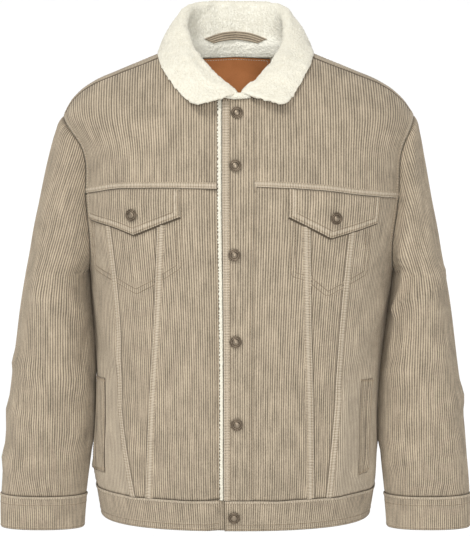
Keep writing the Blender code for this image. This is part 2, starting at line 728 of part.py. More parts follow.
def sleeve_section(side, height):
    """The squared oval of a sleeve at a height: its centre, half sizes and where it is cut off."""
    tip = shoulder_tip(side)
    table_tip = SLEEVE_HEAD.along[-1]
    head = np.clip((height - UNDERARM) / (tip - UNDERARM), 0, 1)
    head_height = UNDERARM + head * (table_tip - UNDERARM)
    edge, middle, span = armhole_place(side, np.clip(height, UNDERARM, tip))
    edge = edge + ARMHOLE_GAP
    tip_edge = armhole_place(side, np.array(tip))[0] + ARMHOLE_GAP
    tip_shift = (tip_edge - SLEEVE_HEAD.read("outer", table_tip)) * head ** 4
    pinch = np.clip(SLEEVE_HEAD.read("pinch", head_height), 0, 1)
    outer = SLEEVE_HEAD.read("outer", head_height) + tip_shift
    free_depth = span / np.maximum(1 - pinch ** SLEEVE_POWER, 1e-6) ** (1 / SLEEVE_POWER)
    low_share = np.clip((height - UNDERARM) / (HEAD_DEPTH_HEIGHT - UNDERARM), 0, 1)
    low_share = low_share * low_share * (3 - 2 * low_share)
    base_depth = SLEEVE.read("half_depth", UNDERARM) + 0 * height
    half_depth = np.where(low_share < 1, base_depth + (HEAD_DEPTH - base_depth) * low_share, free_depth)
    half_depth = np.maximum(half_depth, span * 1.0005 + 1e-6)
    pinch = (1 - np.clip(span / half_depth, 0, 1) ** SLEEVE_POWER) ** (1 / SLEEVE_POWER)
    half_width = (outer - edge) / (1 + pinch)
    centre_y = middle * head_blend(height) + SLEEVE.read("centre", height) * (1 - head_blend(height))
    below = height < UNDERARM
    inner = SLEEVE.read("inner", height) + side * BODY.read("drift", height)
    low_outer = SLEEVE.read("outer", height)
    return {
        "half_width": np.where(below, (low_outer - inner) / 2, half_width),
        "centre_x": np.where(below, (low_outer + inner) / 2, outer - half_width),
        "half_depth": np.where(below, SLEEVE.read("half_depth", height), half_depth),
        "centre_y": centre_y,
        "pinch": np.where(below, 1.0, pinch),
    }


def head_blend(height):
    """How far a sleeve ring follows the armhole's middle depth rather than its own, from 0 to 1."""
    share = np.clip((height - BLEND_START) / (BLEND_END - BLEND_START), 0, 1)
    return share * share * (3 - 2 * share)


def section_arc(section, samples=60):
    """Points along half a section from its outermost point, and the length to each."""
    end = math.pi - np.arccos(np.clip(section["pinch"], 0, 1) ** (SLEEVE_POWER / 2))
    turn = end[..., None] * np.linspace(0, 1, samples)
    cosine = np.cos(turn)
    x = section["half_width"][..., None] * np.sign(cosine) * np.abs(cosine) ** (2 / SLEEVE_POWER)
    y = section["half_depth"][..., None] * np.sin(turn) ** (2 / SLEEVE_POWER)
    steps = np.hypot(np.diff(x, axis=-1), np.diff(y, axis=-1))
    start = np.zeros(steps.shape[:-1] + (1,))
    return x, y, np.concatenate((start, np.cumsum(steps, axis=-1)), axis=-1)


def half_girth(side, height):
    """The length of half a sleeve section."""
    return section_arc(sleeve_section(side, np.asarray(height, float)))[2][..., -1]


def sleeve_surface(side, share, height):
    """Points of a sleeve's outer surface. share is -1 at the front underarm and +1 at the back one."""
    share, height = np.broadcast_arrays(np.asarray(share, float), np.asarray(height, float))
    section = sleeve_section(side, height)
    x, y, lengths = section_arc(section)
    full = half_girth(side, np.array(UNDERARM))
    part = np.abs(share)
    taper = np.maximum(0, full - lengths[..., -1]) * np.where(height < UNDERARM, part ** (1 + TAPER_POWER), 0)
    wanted = np.minimum(full * part - taper, lengths[..., -1])
    place = (lengths < wanted[..., None]).sum(axis=-1).clip(1, lengths.shape[-1] - 1)

    def pick(values, index):
        return np.take_along_axis(values, index[..., None], axis=-1)[..., 0]

    before = pick(lengths, place - 1)
    gap = np.maximum(pick(lengths, place) - before, 1e-9)
    blend = np.clip((wanted - before) / gap, 0, 1)
    along_x = pick(x, place - 1) * (1 - blend) + pick(x, place) * blend
    along_y = pick(y, place - 1) * (1 - blend) + pick(y, place) * blend
    point_x = side * (section["centre_x"] + along_x)
    point_y = section["centre_y"] + np.sign(share) * along_y
    return np.stack((point_x, point_y, height + 0 * point_x), axis=-1)


def sleeve_top(side, share):
    """The height at which each column of a sleeve meets the armhole."""
    tip = shoulder_tip(side)
    heights = UNDERARM + (tip - UNDERARM) * np.sin(np.linspace(0, math.pi / 2, 300))
    lengths = half_girth(side, heights) - ARMHOLE_GAP
    full = half_girth(side, np.array(UNDERARM))
    return np.interp(-np.abs(share) * full, -lengths, heights)


def armhole_facing(side, share):
    """The outward direction of the body beside each column's end on the armhole."""
    height = sleeve_top(side, share)
    back = share > 0
    cap = np.where(back, BACK_CAP, FRONT_CAP)
    across = np.where(back, armhole_across(height, back=True), armhole_across(height)) * side
    start = shoulder_height(body_x(ring_place(across)[0], height), height) - cap
    climb = cap * np.arcsin(np.clip((height - start) / cap, 0, 0.995))
    return body_normal(across, np.where(height < start, height, start + climb))


def sleeve_wall(side, share, height, lift, wall):
    """The outer and inner points of a folded sleeve wall, whose top turns to follow the armhole."""
    step = 0.004
    point = sleeve_surface(side, share, height)
    run = sleeve_surface(side, share + step, height) - sleeve_surface(side, share - step, height)
    climb = point - sleeve_surface(side, share, height - 0.0010)
    normal = unit(np.cross(run, climb)) * side
    rise = fold_rise(SLEEVE_FOLDS[side], share, height, SLEEVE_SHARE) + lift
    facing = armhole_facing(side, share[0]) + 0 * point
    near = np.clip(1 - (sleeve_top(side, share[0]) - height) / HEAD_JOIN, 0, 1)
    alike = np.clip(((facing * normal).sum(axis=-1) - 0.2) / 0.3, 0, 1)
    inward = unit(normal + (facing - normal) * (near * alike)[..., None])
    outer = point + normal * rise[..., None]
    return outer, outer - inward * wall


def build_sleeves():
    """Each sleeve in two pieces, joined under the arm and down the back of the elbow, and its cuff."""
    elbow_gap = ELBOW_GAP / 2 / SLEEVE_SHARE
    end_gap = UNDERARM_SEAM_GAP / 2 / SLEEVE_SHARE
    rows = np.concatenate((np.linspace(0, 0.60, 14), np.linspace(0.60, 1.0, 9)[1:]))
    spans = {
        "sleeve_front": np.linspace(-1 + end_gap, ELBOW_SEAM - elbow_gap, 17),
        "sleeve_back": np.linspace(ELBOW_SEAM + elbow_gap, 1 - end_gap, 7),
    }
    for side, word in SIDE_NAMES.items():
        for name, columns in spans.items():
            bottom = SLEEVE_END + SEAM_GAP
            height = bottom + rows[:, None] * (sleeve_top(side, columns) - bottom)
            share = columns + 0 * height
            cloth_wall(f"{name}_{word}", *sleeve_wall(side, share, height, 0.0, WALL))
        shares = np.linspace(-CUFF_END_SHARE, CUFF_END_SHARE, 25)
        share, height = np.meshgrid(shares, np.linspace(CUFF_END, SLEEVE_END, 3))
        cloth_wall(f"cuff_{word}", *sleeve_wall(side, share, height, CUFF_LIFT, BAND_WALL))


def neck_line():
    """Points round half the neck seam, from the centre back to the front."""
    back = np.linspace(HALF_GIRTH, HALF_GIRTH - NECK_HALF_WIDTH, 200)
    front = NECK_HALF_WIDTH * np.cos(np.linspace(0, math.pi / 2, 300))
    across = np.concatenate((back, front[front > NECK_END]))
    return body_points(across, neck_rise(across))


def collar_lines(along):
    """Seam, roll and edge points of the collar, from its right front end (-1) to its left one (1)."""
    half = np.abs(along)
    mirror = np.ones((len(along), 3))
    mirror[:, 0] = np.where(along < 0, -1, 1)
    shift = np.zeros((len(along), 3))
    shift[:, 0] = COLLAR_DRIFT * np.clip(2 * half - 1, 0, 1)
    roll, edge = (
        np.stack([COLLAR.read(f"{line}_{axis}", half) for axis in "xyz"], axis=-1) * mirror + shift
        for line in ("roll", "edge"))
    seam = neck_line()
    nearest = [np.argmin(((seam - point) ** 2).sum(axis=1)) for point in roll * mirror]
    neck = seam[nearest]
    neck -= unit(neck * (1, 1, 0)) * STAND_INSET
    neck[:, 2] += STAND_LIFT
    return neck * mirror, roll, edge


def collar_face(along):
    """The collar's sherpa face up the stand, over the roll and down the fall, and its directions.

    Each section is flat across the roll: a straight stand, a round roll that it touches, and a fall
    that leaves the roll in the same way.
    """
    neck, roll, edge = collar_lines(along)
    run = unit(collar_lines(np.clip(along + 0.01, -1, 1))[1] - collar_lines(np.clip(along - 0.01, -1, 1))[1])
    rise = roll - (neck + edge) / 2
    rise = unit(rise - (rise * run).sum(axis=1, keepdims=True) * run)
    out = np.cross(rise, run)
    radius = COLLAR.read("radius", np.abs(along))
    centre = roll - rise * radius[:, None]
    ends = []
    for point, sign in ((neck, -1), (edge, 1)):
        offset = point - centre
        x, z, aside = ((offset * axis).sum(axis=1) for axis in (out, rise, run))
        bearing = np.arctan2(x, z)
        bearing = np.where(sign * bearing < 0, bearing + sign * 2 * math.pi, bearing)
        touch = bearing - sign * np.arccos(np.minimum(1, radius / np.hypot(x, z)))
        ends.append((x, z, aside, touch))
    (neck_x, neck_z, neck_aside, start), (edge_x, edge_z, edge_aside, finish) = ends
    rows = []
    for share in np.linspace(0, 1, STAND_ROWS)[:-1]:
        x = neck_x * (1 - share) + radius * np.sin(start) * share
        z = neck_z * (1 - share) + radius * np.cos(start) * share
        rows.append((x, z, neck_aside * (1 - share), start))
    for share in np.linspace(0, 1, ROLL_ROWS):
        turn = start + (finish - start) * share
        rows.append((radius * np.sin(turn), radius * np.cos(turn), 0 * turn, turn))
    for share in np.linspace(0, 1, FALL_ROWS + 1)[1:]:
        bow = COLLAR_BOW * math.sin(math.pi * share)
        x = radius * np.sin(finish) * (1 - share) + edge_x * share + bow * np.sin(finish)
        z = radius * np.cos(finish) * (1 - share) + edge_z * share + bow * np.cos(finish)
        rows.append((x, z, edge_aside * share ** 2, finish))
    x, z, aside, turn = (np.stack(values, axis=1)[..., None] for values in zip(*rows))
    face = centre[:, None] + out[:, None] * x + rise[:, None] * z + run[:, None] * aside
    return face, out[:, None] * np.sin(turn) + rise[:, None] * np.cos(turn)


def keep_off_body(points, clearance):
    """Push points out until they lie a clear distance outside the shoulders and fronts."""
    across = np.concatenate((np.linspace(-0.20, 0.20, 81), HALF_GIRTH + np.linspace(-0.20, 0.20, 81)))
    low = np.where(np.abs(across) > SIDE_SEAM, -0.05, -0.15)
    up = low + np.linspace(0, 1, 40)[:, None] * (neck_rise(across) - low)
    across = across + 0 * up
    skin = body_surface(across, up).reshape(-1, 3)
    facing = body_normal(across, up).reshape(-1, 3)
    flat = points.reshape(-1, 3)
    nearest = np.array([np.argmin(((skin - point) ** 2).sum(axis=1)) for point in flat])
    offset = flat - skin[nearest]
    height = (offset * facing[nearest]).sum(axis=1)
    near = np.linalg.norm(offset, axis=1) < 3 * clearance
    push = np.where(near, np.maximum(0, clearance - height), 0)
    return (flat + facing[nearest] * push[:, None]).reshape(points.shape)


def build_collar():
    """The sherpa top collar and the corduroy under collar, which lines the fall from within."""
    face, facing = collar_face(np.linspace(-1, 1, 29))
    under = STAND_ROWS + ROLL_ROWS // 2
    face[:, under:] = keep_off_body(face[:, under:], COLLAR_CLEARANCE)
    cloth_wall("top_collar", face, face - facing * FLEECE_WALL, "sherpa")
    start = FLEECE_WALL + SEAM_GAP
    face = face[:, under:]
    facing = facing[:, under:]
    cloth_wall("under_collar", face - facing * start, face - facing * (start + UNDER_COLLAR_WALL))


def build_neck_trims():
    """The hanger loop on the inside of the collar stand and the blank leather patch below it."""
    sheets = []
    for lift in (LOOP_TAPE + SEAM_GAP, SEAM_GAP):
        rows = []
        for edge in LOOP_EDGES:
            face, facing = collar_face(np.linspace(-edge["reach"], edge["reach"], 13))
            bow = 1 - np.linspace(-1, 1, 13) ** 2
            share = edge["rise"] + edge["arch"] * bow
            low, high = face[:, 0], face[:, STAND_ROWS - 1]
            rise = lift + LOOP_SLACK * bow
            rows.append(low + (high - low) * share[:, None] + facing[:, 0] * rise[:, None])
        sheets.append(np.array(rows))
    cloth_wall("hanger_loop", *sheets)
    reach = np.linspace(-LABEL_HALF_WIDTH, LABEL_HALF_WIDTH, 7)
    across, up = np.meshgrid(HALF_GIRTH + reach, np.linspace(LABEL_FOOT, LABEL_TOP, 4))
    gap = WALL + LABEL_GAP
    outer = body_points(across, up, -gap)
    inner = body_points(across, up, -gap - LEATHER_WALL)
    cloth_wall("neck_label", outer, inner, "leather")


def flap_outline(side, share):
    """Across and drop of a flap's lower edge, from its inner corner (0) to its outer corner (1)."""
    sizes = FLAPS[side]
    x = sizes["inner"] + (sizes["outer"] - sizes["inner"]) * share
    point = (sizes["point"] - sizes["inner"]) / (sizes["outer"] - sizes["inner"])
    drop = np.interp(share, (0, point, 1), FLAP_DROPS)
    return x, drop, point


def build_pockets():
    """The chest flaps, which hang from the yoke seam, and the welts of the hand pockets."""
    for side, word in SIDE_NAMES.items():
        point = flap_outline(side, np.zeros(1))[2]
        share = np.concatenate((np.linspace(0, point, 6), np.linspace(point, 1, 6)[1:]))
        x, drop, _ = flap_outline(side, share)
        across = across_of(side * x, np.full(x.shape, FLAP_MIDDLE))
        depth = np.linspace(1, 0, 4)[:, None]
        up = yoke_rise(side, across) - 2 * SEAM_GAP - drop * depth
        across = across + 0 * up
        hang = FLAP_GAP + FLAP_LIFT * depth + 0 * up
        outer = body_points(across, up, hang + FLAP_WALL)
        inner = body_points(across, up, hang)
        cloth_wall(f"pocket_flap_{word}", outer, inner)
        edges = [across_of(x, np.array(WELT_MIDDLE)) for x in WELTS[side]]
        across, up = np.meshgrid(np.linspace(*edges, 3), np.linspace(WELT_BOTTOM, WELT_TOP, 7))
        crown = WELT_GAP + WELT_LIFT * np.array(WELT_CROWN) + 0 * across
        outer = body_points(across, up, crown)
        inner = body_points(across, up, WELT_GAP)
        cloth_wall(f"welt_{word}", outer, inner)


def build_button(name, x, height, lift):
    """A domed button turned from a profile, standing on the cloth."""
    across = across_of(x, np.array(height))
    base = body_points(across, np.array(height), np.array(lift))
    facing = body_normal(across, np.array(height))
    form = bmesh.new()
    verts = [
        form.verts.new((radius * BUTTON_RADIUS, 0, rise * BUTTON_HEIGHT)) for radius, rise in BUTTON_PROFILE]
    edges = [form.edges.new(pair) for pair in zip(verts, verts[1:])]
    bmesh.ops.spin(form, geom=verts + edges, cent=(0, 0, 0), axis=(0, 0, 1), angle=2 * math.pi,
                   steps=BUTTON_SIDES, use_merge=True)
    bmesh.ops.remove_doubles(form, verts=form.verts[:], dist=0.00001)
    piece = add_object(name, form, "metal")
    turn = np.arctan2(facing[1], facing[0])
    tilt = math.acos(facing[2])
    piece.rotation_euler = (0, tilt, turn)
    piece.location = base


def build_buttons():
    """Six buttons down the front, the last on the waistband, and one on each chest flap."""
    for number, (x, height) in enumerate(FRONT_BUTTONS, start=1):
        build_button(f"front_button_{number}", x, height, PLACKET_LIFT + SEAM_GAP * 2)
    for side, word in SIDE_NAMES.items():
        x, height = FLAP_BUTTONS[side]
        build_button(f"flap_button_{word}", x, height, FLAP_GAP + FLAP_LIFT + FLAP_WALL)


def main():
    """Build the jacket in an empty scene."""
    for old in list(bpy.data.objects):
        bpy.data.objects.remove(old, do_unlink=True)
    build_lower_fronts()
    build_front_yokes()
    build_back()
    build_waistband()
    build_placket()
    build_sleeves()
    build_collar()
    build_neck_trims()
    build_pockets()
    build_buttons()


main()
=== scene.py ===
"""The looks of a corduroy jacket with a sherpa collar and lining, filled out as if it were worn.

Lengths are in metres. +X is the wearer's left, -Y is the front and +Z is up. Cloth is laid out in cloth
coordinates: across runs round the body or a sleeve and up runs along the cloth. Every piece of cloth is
a thin shell on the surface of its CAD node, with cords, seams, creases and stitches laid over it.
"""

import json
import logging
import math
from dataclasses import dataclass, field
from enum import Enum
from typing import Callable, Iterable

import bmesh
import bpy
import numpy as np
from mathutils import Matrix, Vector, noise


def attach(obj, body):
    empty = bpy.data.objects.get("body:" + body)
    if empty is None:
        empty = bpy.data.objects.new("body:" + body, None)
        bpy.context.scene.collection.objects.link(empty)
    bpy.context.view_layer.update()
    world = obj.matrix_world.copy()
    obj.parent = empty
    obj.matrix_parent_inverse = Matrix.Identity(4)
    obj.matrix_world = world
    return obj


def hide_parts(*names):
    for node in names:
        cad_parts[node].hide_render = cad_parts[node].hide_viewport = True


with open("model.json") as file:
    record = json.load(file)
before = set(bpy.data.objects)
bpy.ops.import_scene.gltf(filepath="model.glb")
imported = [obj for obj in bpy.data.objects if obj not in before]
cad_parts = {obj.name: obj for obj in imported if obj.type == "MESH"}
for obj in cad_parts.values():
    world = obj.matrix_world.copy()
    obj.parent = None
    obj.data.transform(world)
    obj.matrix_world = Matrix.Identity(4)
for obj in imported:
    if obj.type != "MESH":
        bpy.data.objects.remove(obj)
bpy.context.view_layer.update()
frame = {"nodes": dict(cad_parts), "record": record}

LOG = logging.getLogger("jacket")

Array = np.ndarray
Edge = Callable[[Array], Array]
Lift = Callable[[Array, Array], Array]
Path2 = tuple[Array, Array]

# Thicknesses and gaps of the cloth.
SEAM_GAP = 0.0003
WALL = 0.0032
BAND_WALL = 0.0042
FLAP_WALL = 0.0024
FLEECE_WALL = 0.003
LABEL_GAP = 0.0016
FLAP_GAP = 0.0008
WELT_GAP = 0.0014
EDGE_TURN = 0.0008

# Heights on the body.
WAIST_SEAM = -0.6
HEM = -0.6435
UNDERARM = -0.3
ARMHOLE_TURN = -0.24
SHOULDER_DEPTH = 0.005

# The body's rings are squared ovals.
RING_POWER = 2.4
REFERENCE_WIDTH = 0.208
REFERENCE_FRONT = 0.15
REFERENCE_BACK = 0.118
STRAIGHT_WIDTH = 0.2225
SPREAD_POWER = 4
FRONT_CAP = 0.075
BACK_CAP = 0.06
ARMHOLE_ANGLE = math.radians(70)
ARMHOLE_POWER = 2.2

# The neck and the front opening.
NECK_HALF_WIDTH = 0.079
NECK_POWER = 2.2
FRONT_NECK_RISE = -0.0625
BACK_NECK_RISE = 0.0085
PLACKET_EDGE = -0.0165
PLACKET_SEAM = 0.022
UNDERLAP_EDGE = 0.016
UNDERLAP_STEP = 0.0052
UNDERLAP_START = -0.046
UNDERLAP_END = -0.025
UNDERLAP_SEAM_END = 0.0235
PLACKET_LIFT = 0.0008
FLEECE_STRIP_WIDTH = 0.0045
FLEECE_STRIP_TOP = -0.0632
FLEECE_STRIP_STEP = 0.0011
FLEECE_CURL = 0.0026
FLEECE_TOOTH_PITCH = 0.0008
FLEECE_TOOTH_DEPTH = 0.0014
FLEECE_FOOT = -0.0034
FLEECE_CROWN = 0.0038
FLEECE_PILE = 0.001
FLEECE_TURN = 0.0016
BACK_YOKE_RISE = -0.15

# Cuffs and sleeves.
SLEEVE_POWER = 2.2
SLEEVE_END = -0.609
CUFF_END = -0.656
CUFF_LIFT = 0.001
ELBOW_SEAM = 0.46
ELBOW_GAP = 0.0008
UNDERARM_SEAM_GAP = 0.0009
CUFF_END_SHARE = 0.985
SLEEVE_SHARE = 0.19
TAPER_POWER = 1.5
ARMHOLE_GAP = 0.0006
HEAD_DEPTH = 0.068
HEAD_DEPTH_HEIGHT = -0.22
BLEND_START = -0.33
BLEND_END = -0.24
SECTION_SAMPLES = 110
NORMAL_STEP_BACK = 0.0025
NESTLE_GAP = 0.0005
NESTLE_WELT = 0.0019
NESTLE_WELT_START = 0.001
NESTLE_WELT_RAMP = 0.008
NESTLE_FOOT = -0.556
NESTLE_FOOT_RAMP = 0.031
NESTLE_TOP_RAMP = 0.012
NESTLE_START = 0.45
NESTLE_RAMP = 0.35
INNER_EASE = 0.9
INNER_EASE_START = 0.78
INNER_EASE_RAMP = 0.17

# The collar, the hanger loop and the leather patch.
COLLAR_DRIFT = 0.005
COLLAR_BOW = 0.0025
COLLAR_CLEARANCE = 0.0062
TIP_RADII = (0.0115, 0.01)
LEAF_LENGTH = 0.25
LEAF_FILL = 0.007
LEAF_FILL_PLACE = 0.74
LEAF_FILL_SPREAD = 0.12
LEAF_FILL_DEPTH = 0.06
FRONT_END_GAP = 0.0046
MEET_START = 0.92
MEET_RAMP = 0.08
MEET_INSET = 0.012
MEET_INSET_RAMP = 0.02
SMOOTH_PLACES = 11
SMOOTH_ROWS = 7
PUSH_RAMP = 0.22
PUSH_REACH = 3.4
STAND_INSET = 0.0045
STAND_LIFT = 0.0012
NECK_END = 0.004
LABEL_HALF_WIDTH = 0.0465
LABEL_TOP = -0.0066
LABEL_FOOT = -0.066
LABEL_LIFT = 0.0013
LABEL_THREAD = 0.00065

# Cords of the cloth: their spacing, their depth and where columns of a mesh lie on each.
WALE = 0.00325
WALE_DEPTH = 0.00042
WALE_PHASES = (0.0, 0.22, 0.5, 0.78)
WALE_POWER = 3.0
ROW_STEP = 0.0084
EDGE_ROWS = (0.0, 0.001, 0.0024, 0.0042, 0.0066, 0.0098)
VALLEY_WIDTH = 0.0017
VALLEY_DEPTH = 0.0006
# How dark the painted shade in a seam valley is.
VALLEY_SHADE = 0.55
LINING_STEP = 0.0068
LINING_LIFT = 0.0006
LINING_PILE = 0.0009
LINING_CURL = 1.6
PILE_SIZE = 0.0034

SMALLEST_CUT = 0.0102

# Stitches and puckered seam bands.
STITCH_PITCH = 0.0036
STITCH_LENGTH = 0.0029
STITCH_RADIUS = 0.00036
PUCKER_PITCH = 0.0036
PUCKER_RISE = 0.0003
THREAD_SWAY = 0.00006
BAND_BASE = 0.6
BAND_STITCH_LIFT = 0.0001
HEM_BAND = 0.0036
HEM_ROW = 0.003

# Where seams and rows stop short of the panels' edges.
SEAM_INSET = 0.001
ROW_INSET = 0.002
PLACKET_ROW_INSET = 0.0022
PLACKET_ROW_TOP = -0.066
PANEL_TOP = -0.18
SIDE_PANEL_TOP = -0.19
SIDE_SEAM_TOP = -0.196
SIDE_ARMHOLE_TOP = -0.194
CENTRE_SEAM_TOP = -0.184
CENTRE_ROW_TOP = -0.182
UNDERARM_INSET = 0.004


class Side(Enum):
    """The wearer's right or left."""

    RIGHT = -1
    LEFT = 1

    @property
    def word(self) -> str:
        """The side as part of a name."""
        return self.name.lower()


class Slot(Enum):
    """The material slots of the record."""

    CORDUROY = "corduroy"
    SHERPA = "sherpa"
    LEATHER = "leather"
    METAL = "metal"


class Table:
    """A short table with named columns, read smoothly along its first column."""

    def __init__(self, columns: tuple[str, ...], rows: tuple[tuple[float, ...], ...]) -> None:
        """Sort the rows and keep them by column name."""
        self.values = dict(zip(columns, np.array(sorted(rows), dtype=float).T))
        self.along = self.values[columns[0]]

    def read(self, column: str, where: Array | float) -> Array:
        """Read a column on a smooth curve through its rows.

        Args:
            column: Name of the column.
            where: Places along the first column.

        Returns:
            The column's value at each place.
        """
        values = self.values[column]
        slopes = np.gradient(values, self.along)
        place = np.clip(where, self.along[0], self.along[-1])
        row = np.clip(np.searchsorted(self.along, place) - 1, 0, len(values) - 2)
        span = self.along[row + 1] - self.along[row]
        t = (place - self.along[row]) / span
        ease = t * t * (3 - 2 * t)
        start_bend = t * (1 - t) ** 2 * span * slopes[row]
        end_bend = -(1 - t) * t * t * span * slopes[row + 1]
        return values[row] * (1 - ease) + values[row + 1] * ease + start_bend + end_bend


BODY = Table(
    ("height", "half_width", "drift", "front", "back"),
    (
        (-0.6435, 0.1868, 0.0, 0.129, 0.118),
        (-0.62, 0.1908, 0.0, 0.134, 0.121),
        (-0.598, 0.1938, 0.0, 0.1385, 0.1225),
        (-0.556, 0.1962, 0.0005, 0.147, 0.118),
        (-0.5, 0.195, 0.002, 0.1515, 0.11),
        (-0.45, 0.1955, 0.0035, 0.152, 0.107),
        (-0.35, 0.203, 0.0065, 0.152, 0.113),
        (-0.3, 0.209, 0.008, 0.151, 0.118),
        (-0.25, 0.2165, 0.0087, 0.149, 0.123),
        (-0.2, 0.2225, 0.01, 0.146, 0.126),
        (-0.13, 0.23, 0.01, 0.131, 0.121),
        (-0.088, 0.2597, 0.0045, 0.116, 0.113),
        (-0.05, 0.262, 0.002, 0.101, 0.1),
        (0.03, 0.262, 0.0, 0.082, 0.082),
    ),
)

SHOULDER = Table(
    ("reach", "height"),
    (
        (0.0, 0.03),
        (0.078, 0.007),
        (0.128, -0.013),
        (0.162, -0.027),
        (0.196, -0.042),
        (0.2165, -0.056),
        (0.231, -0.072),
        (0.24, -0.088),
        (0.245, -0.1),
    ),
)

YOKE_SEAM = {
    Side.RIGHT: Table(
        ("reach", "rise"),
        ((0.0, -0.18), (0.118, -0.1802), (0.162, -0.1826), (0.2, -0.1884), (0.24, -0.1932)),
    ),
    Side.LEFT: Table(
        ("reach", "rise"),
        ((0.0, -0.176), (0.071, -0.18), (0.118, -0.1846), (0.149, -0.1895), (0.237, -0.199)),
    ),
}

V_SEAMS = {
    Side.RIGHT: Table(
        ("height", "outer", "inner"),
        (
            (-0.6, 0.1345, 0.1215), (-0.48, 0.1515, 0.1165),
            (-0.36, 0.155, 0.109), (-0.19, 0.1725, 0.1025),
        ),
    ),
    Side.LEFT: Table(
        ("height", "outer", "inner"),
        (
            (-0.6, 0.122, 0.106), (-0.48, 0.132, 0.104),
            (-0.36, 0.14, 0.101), (-0.19, 0.156, 0.099),
        ),
    ),
}

SLEEVE = Table(
    ("height", "outer", "inner", "centre", "half_depth"),
    (
        (-0.656, 0.3247, 0.211, -0.035, 0.029),
        (-0.63, 0.3247, 0.209, -0.035, 0.03),
        (-0.609, 0.3243, 0.207, -0.034, 0.033),
        (-0.587, 0.3228, 0.2045, -0.033, 0.04),
        (-0.556, 0.32, 0.201, -0.03, 0.046),
        (-0.52, 0.3172, 0.199, -0.027, 0.05),
        (-0.4855, 0.3136, 0.1985, -0.024, 0.054),
        (-0.415, 0.305, 0.2025, -0.017, 0.0645),
        (-0.345, 0.2963, 0.2075, -0.009, 0.072),
        (-0.3, 0.289, 0.2102, -0.004, 0.0745),
    ),
)
SLEEVE_HEAD = Table(
    ("height", "outer", "pinch"),
    (
        (-0.3, 0.289, 1.0),
        (-0.275, 0.2841, 0.84),
        (-0.25, 0.28, 0.71),
        (-0.205, 0.2706, 0.58),
        (-0.15, 0.2596, 0.42),
        (-0.11, 0.25, 0.25),
        (-0.096, 0.2456, 0.12),
        (-0.088, 0.24, 0.0),
    ),
)

COLLAR = Table(
    ("along", "roll_x", "roll_y", "roll_z", "radius", "edge_x", "edge_y", "edge_z"),
    (
        (0.0, 0.0, 0.083, 0.0685, 0.0085, 0.0, 0.102, -0.003),
        (0.16, 0.033, 0.078, 0.0685, 0.0085, 0.044, 0.098, -0.002),
        (0.32, 0.06, 0.056, 0.064, 0.0085, 0.082, 0.078, 0.001),
        (0.48, 0.068, 0.022, 0.049, 0.0085, 0.104, 0.028, 0.003),
        (0.6, 0.065, -0.006, 0.027, 0.008, 0.1045, -0.018, -0.006),
        (0.74, 0.056, -0.036, 0.002, 0.0075, 0.093, -0.064, -0.028),
        (0.87, 0.035, -0.069, -0.026, 0.0065, 0.076, -0.097, -0.052),
        (1.0, 0.005, -0.099, -0.0545, 0.0052, 0.06, -0.119, -0.069),
    ),
)
LOOP_EDGES = (
    {"reach": 0.188, "rise": 0.06, "arch": 0.08},
    {"reach": 0.262, "rise": 0.18, "arch": 0.18},
)
LOOP_SLACK = 0.001
LOOP_TAPE = 0.0016

FLAPS = {
    Side.RIGHT: {"inner": 0.0735, "outer": 0.1975, "point": 0.137},
    Side.LEFT: {"inner": 0.071, "outer": 0.192, "point": 0.129},
}
FLAP_DROPS = (0.037, 0.061, 0.034)
FLAP_LIFT = 0.0014
FLAP_HANG = 0.0008
FLAP_ROWS = (0.0023, 0.0088)
FLAP_MIDDLE = -0.205
FLAP_LOWEST = -0.245
FLAP_STEP = 0.0016
FLAP_PUFF = (0.0005, 0.42)
FLAP_BORDER = (0.011, 0.002)
FLAP_MOTTLE = 0.0022
FLAP_BUTTONS = {Side.RIGHT: (-0.136, -0.216), Side.LEFT: (0.132, -0.22)}
FRONT_BUTTONS = (
    (0.0022, -0.0815),
    (-0.0004, -0.15),
    (-0.0016, -0.267),
    (0.0002, -0.3822),
    (0.0018, -0.4935),
    (-0.002, -0.6235),
)
WELTS = {Side.RIGHT: (-0.19, -0.176), Side.LEFT: (0.167, 0.18)}
WELT_TOP = -0.442
WELT_BOTTOM = -0.574
WELT_MIDDLE = -0.51
WELT_LIFT = 0.0018
WELT_ROW_INSET = 0.0018
WELT_SLIT = (0.0011, 0.0012)
WELT_TACKS = (0.0, 0.0009, 0.0018)
WELT_TACK_REACH = 0.003
WELT_TACK_SLANT = 0.004
WELT_RISE = 0.0003

WELT_LAYERS = 1.5

# The stitched outlines of the chest pocket bags, in cloth coordinates.
POCKET_LINES = {
    Side.RIGHT: (
        (-0.203, -0.206), (-0.222, -0.289), (-0.178, -0.3),
        (-0.14, -0.315), (-0.109, -0.3), (-0.078, -0.281), (-0.074, -0.206),
    ),
    Side.LEFT: (
        (0.072, -0.206), (0.078, -0.291), (0.096, -0.296),
        (0.123, -0.317), (0.147, -0.306), (0.175, -0.293), (0.166, -0.206),
    ),
}
POCKET_ROW_GAP = 0.0062


@dataclass(frozen=True)
class Crease:
    """A soft ridge, or a trough where its height is below zero, along a line of the cloth."""

    start: tuple[float, float]
    end: tuple[float, float]
    width: float
    height: float

    def rise(self, across: Array, up: Array, scale: float = 1.0) -> Array:
        """Work out how far the crease lifts the cloth.

        Args:
            across: Places across the cloth.
            up: Places up the cloth.
            scale: Metres in one unit of across.

        Returns:
            The rise at each place.
        """
        run_x = (self.end[0] - self.start[0]) * scale
        run_y = self.end[1] - self.start[1]
        off_x = (across - self.start[0]) * scale
        off_y = up - self.start[1]
        length = math.hypot(run_x, run_y)
        along = (off_x * run_x + off_y * run_y) / length ** 2
        aside = (off_x * run_y - off_y * run_x) / length
        beyond = np.maximum(0, np.abs(along - 0.5) - 0.5) * length
        return self.height * np.exp(-(aside / self.width) ** 2 - (beyond / self.width) ** 2)


def creases(*rows: tuple[float, ...]) -> tuple[Crease, ...]:
    """Creases from rows of start and end in cloth coordinates, width and height."""
    return tuple(Crease(row[:2], row[2:4], row[4], row[5]) for row in rows)


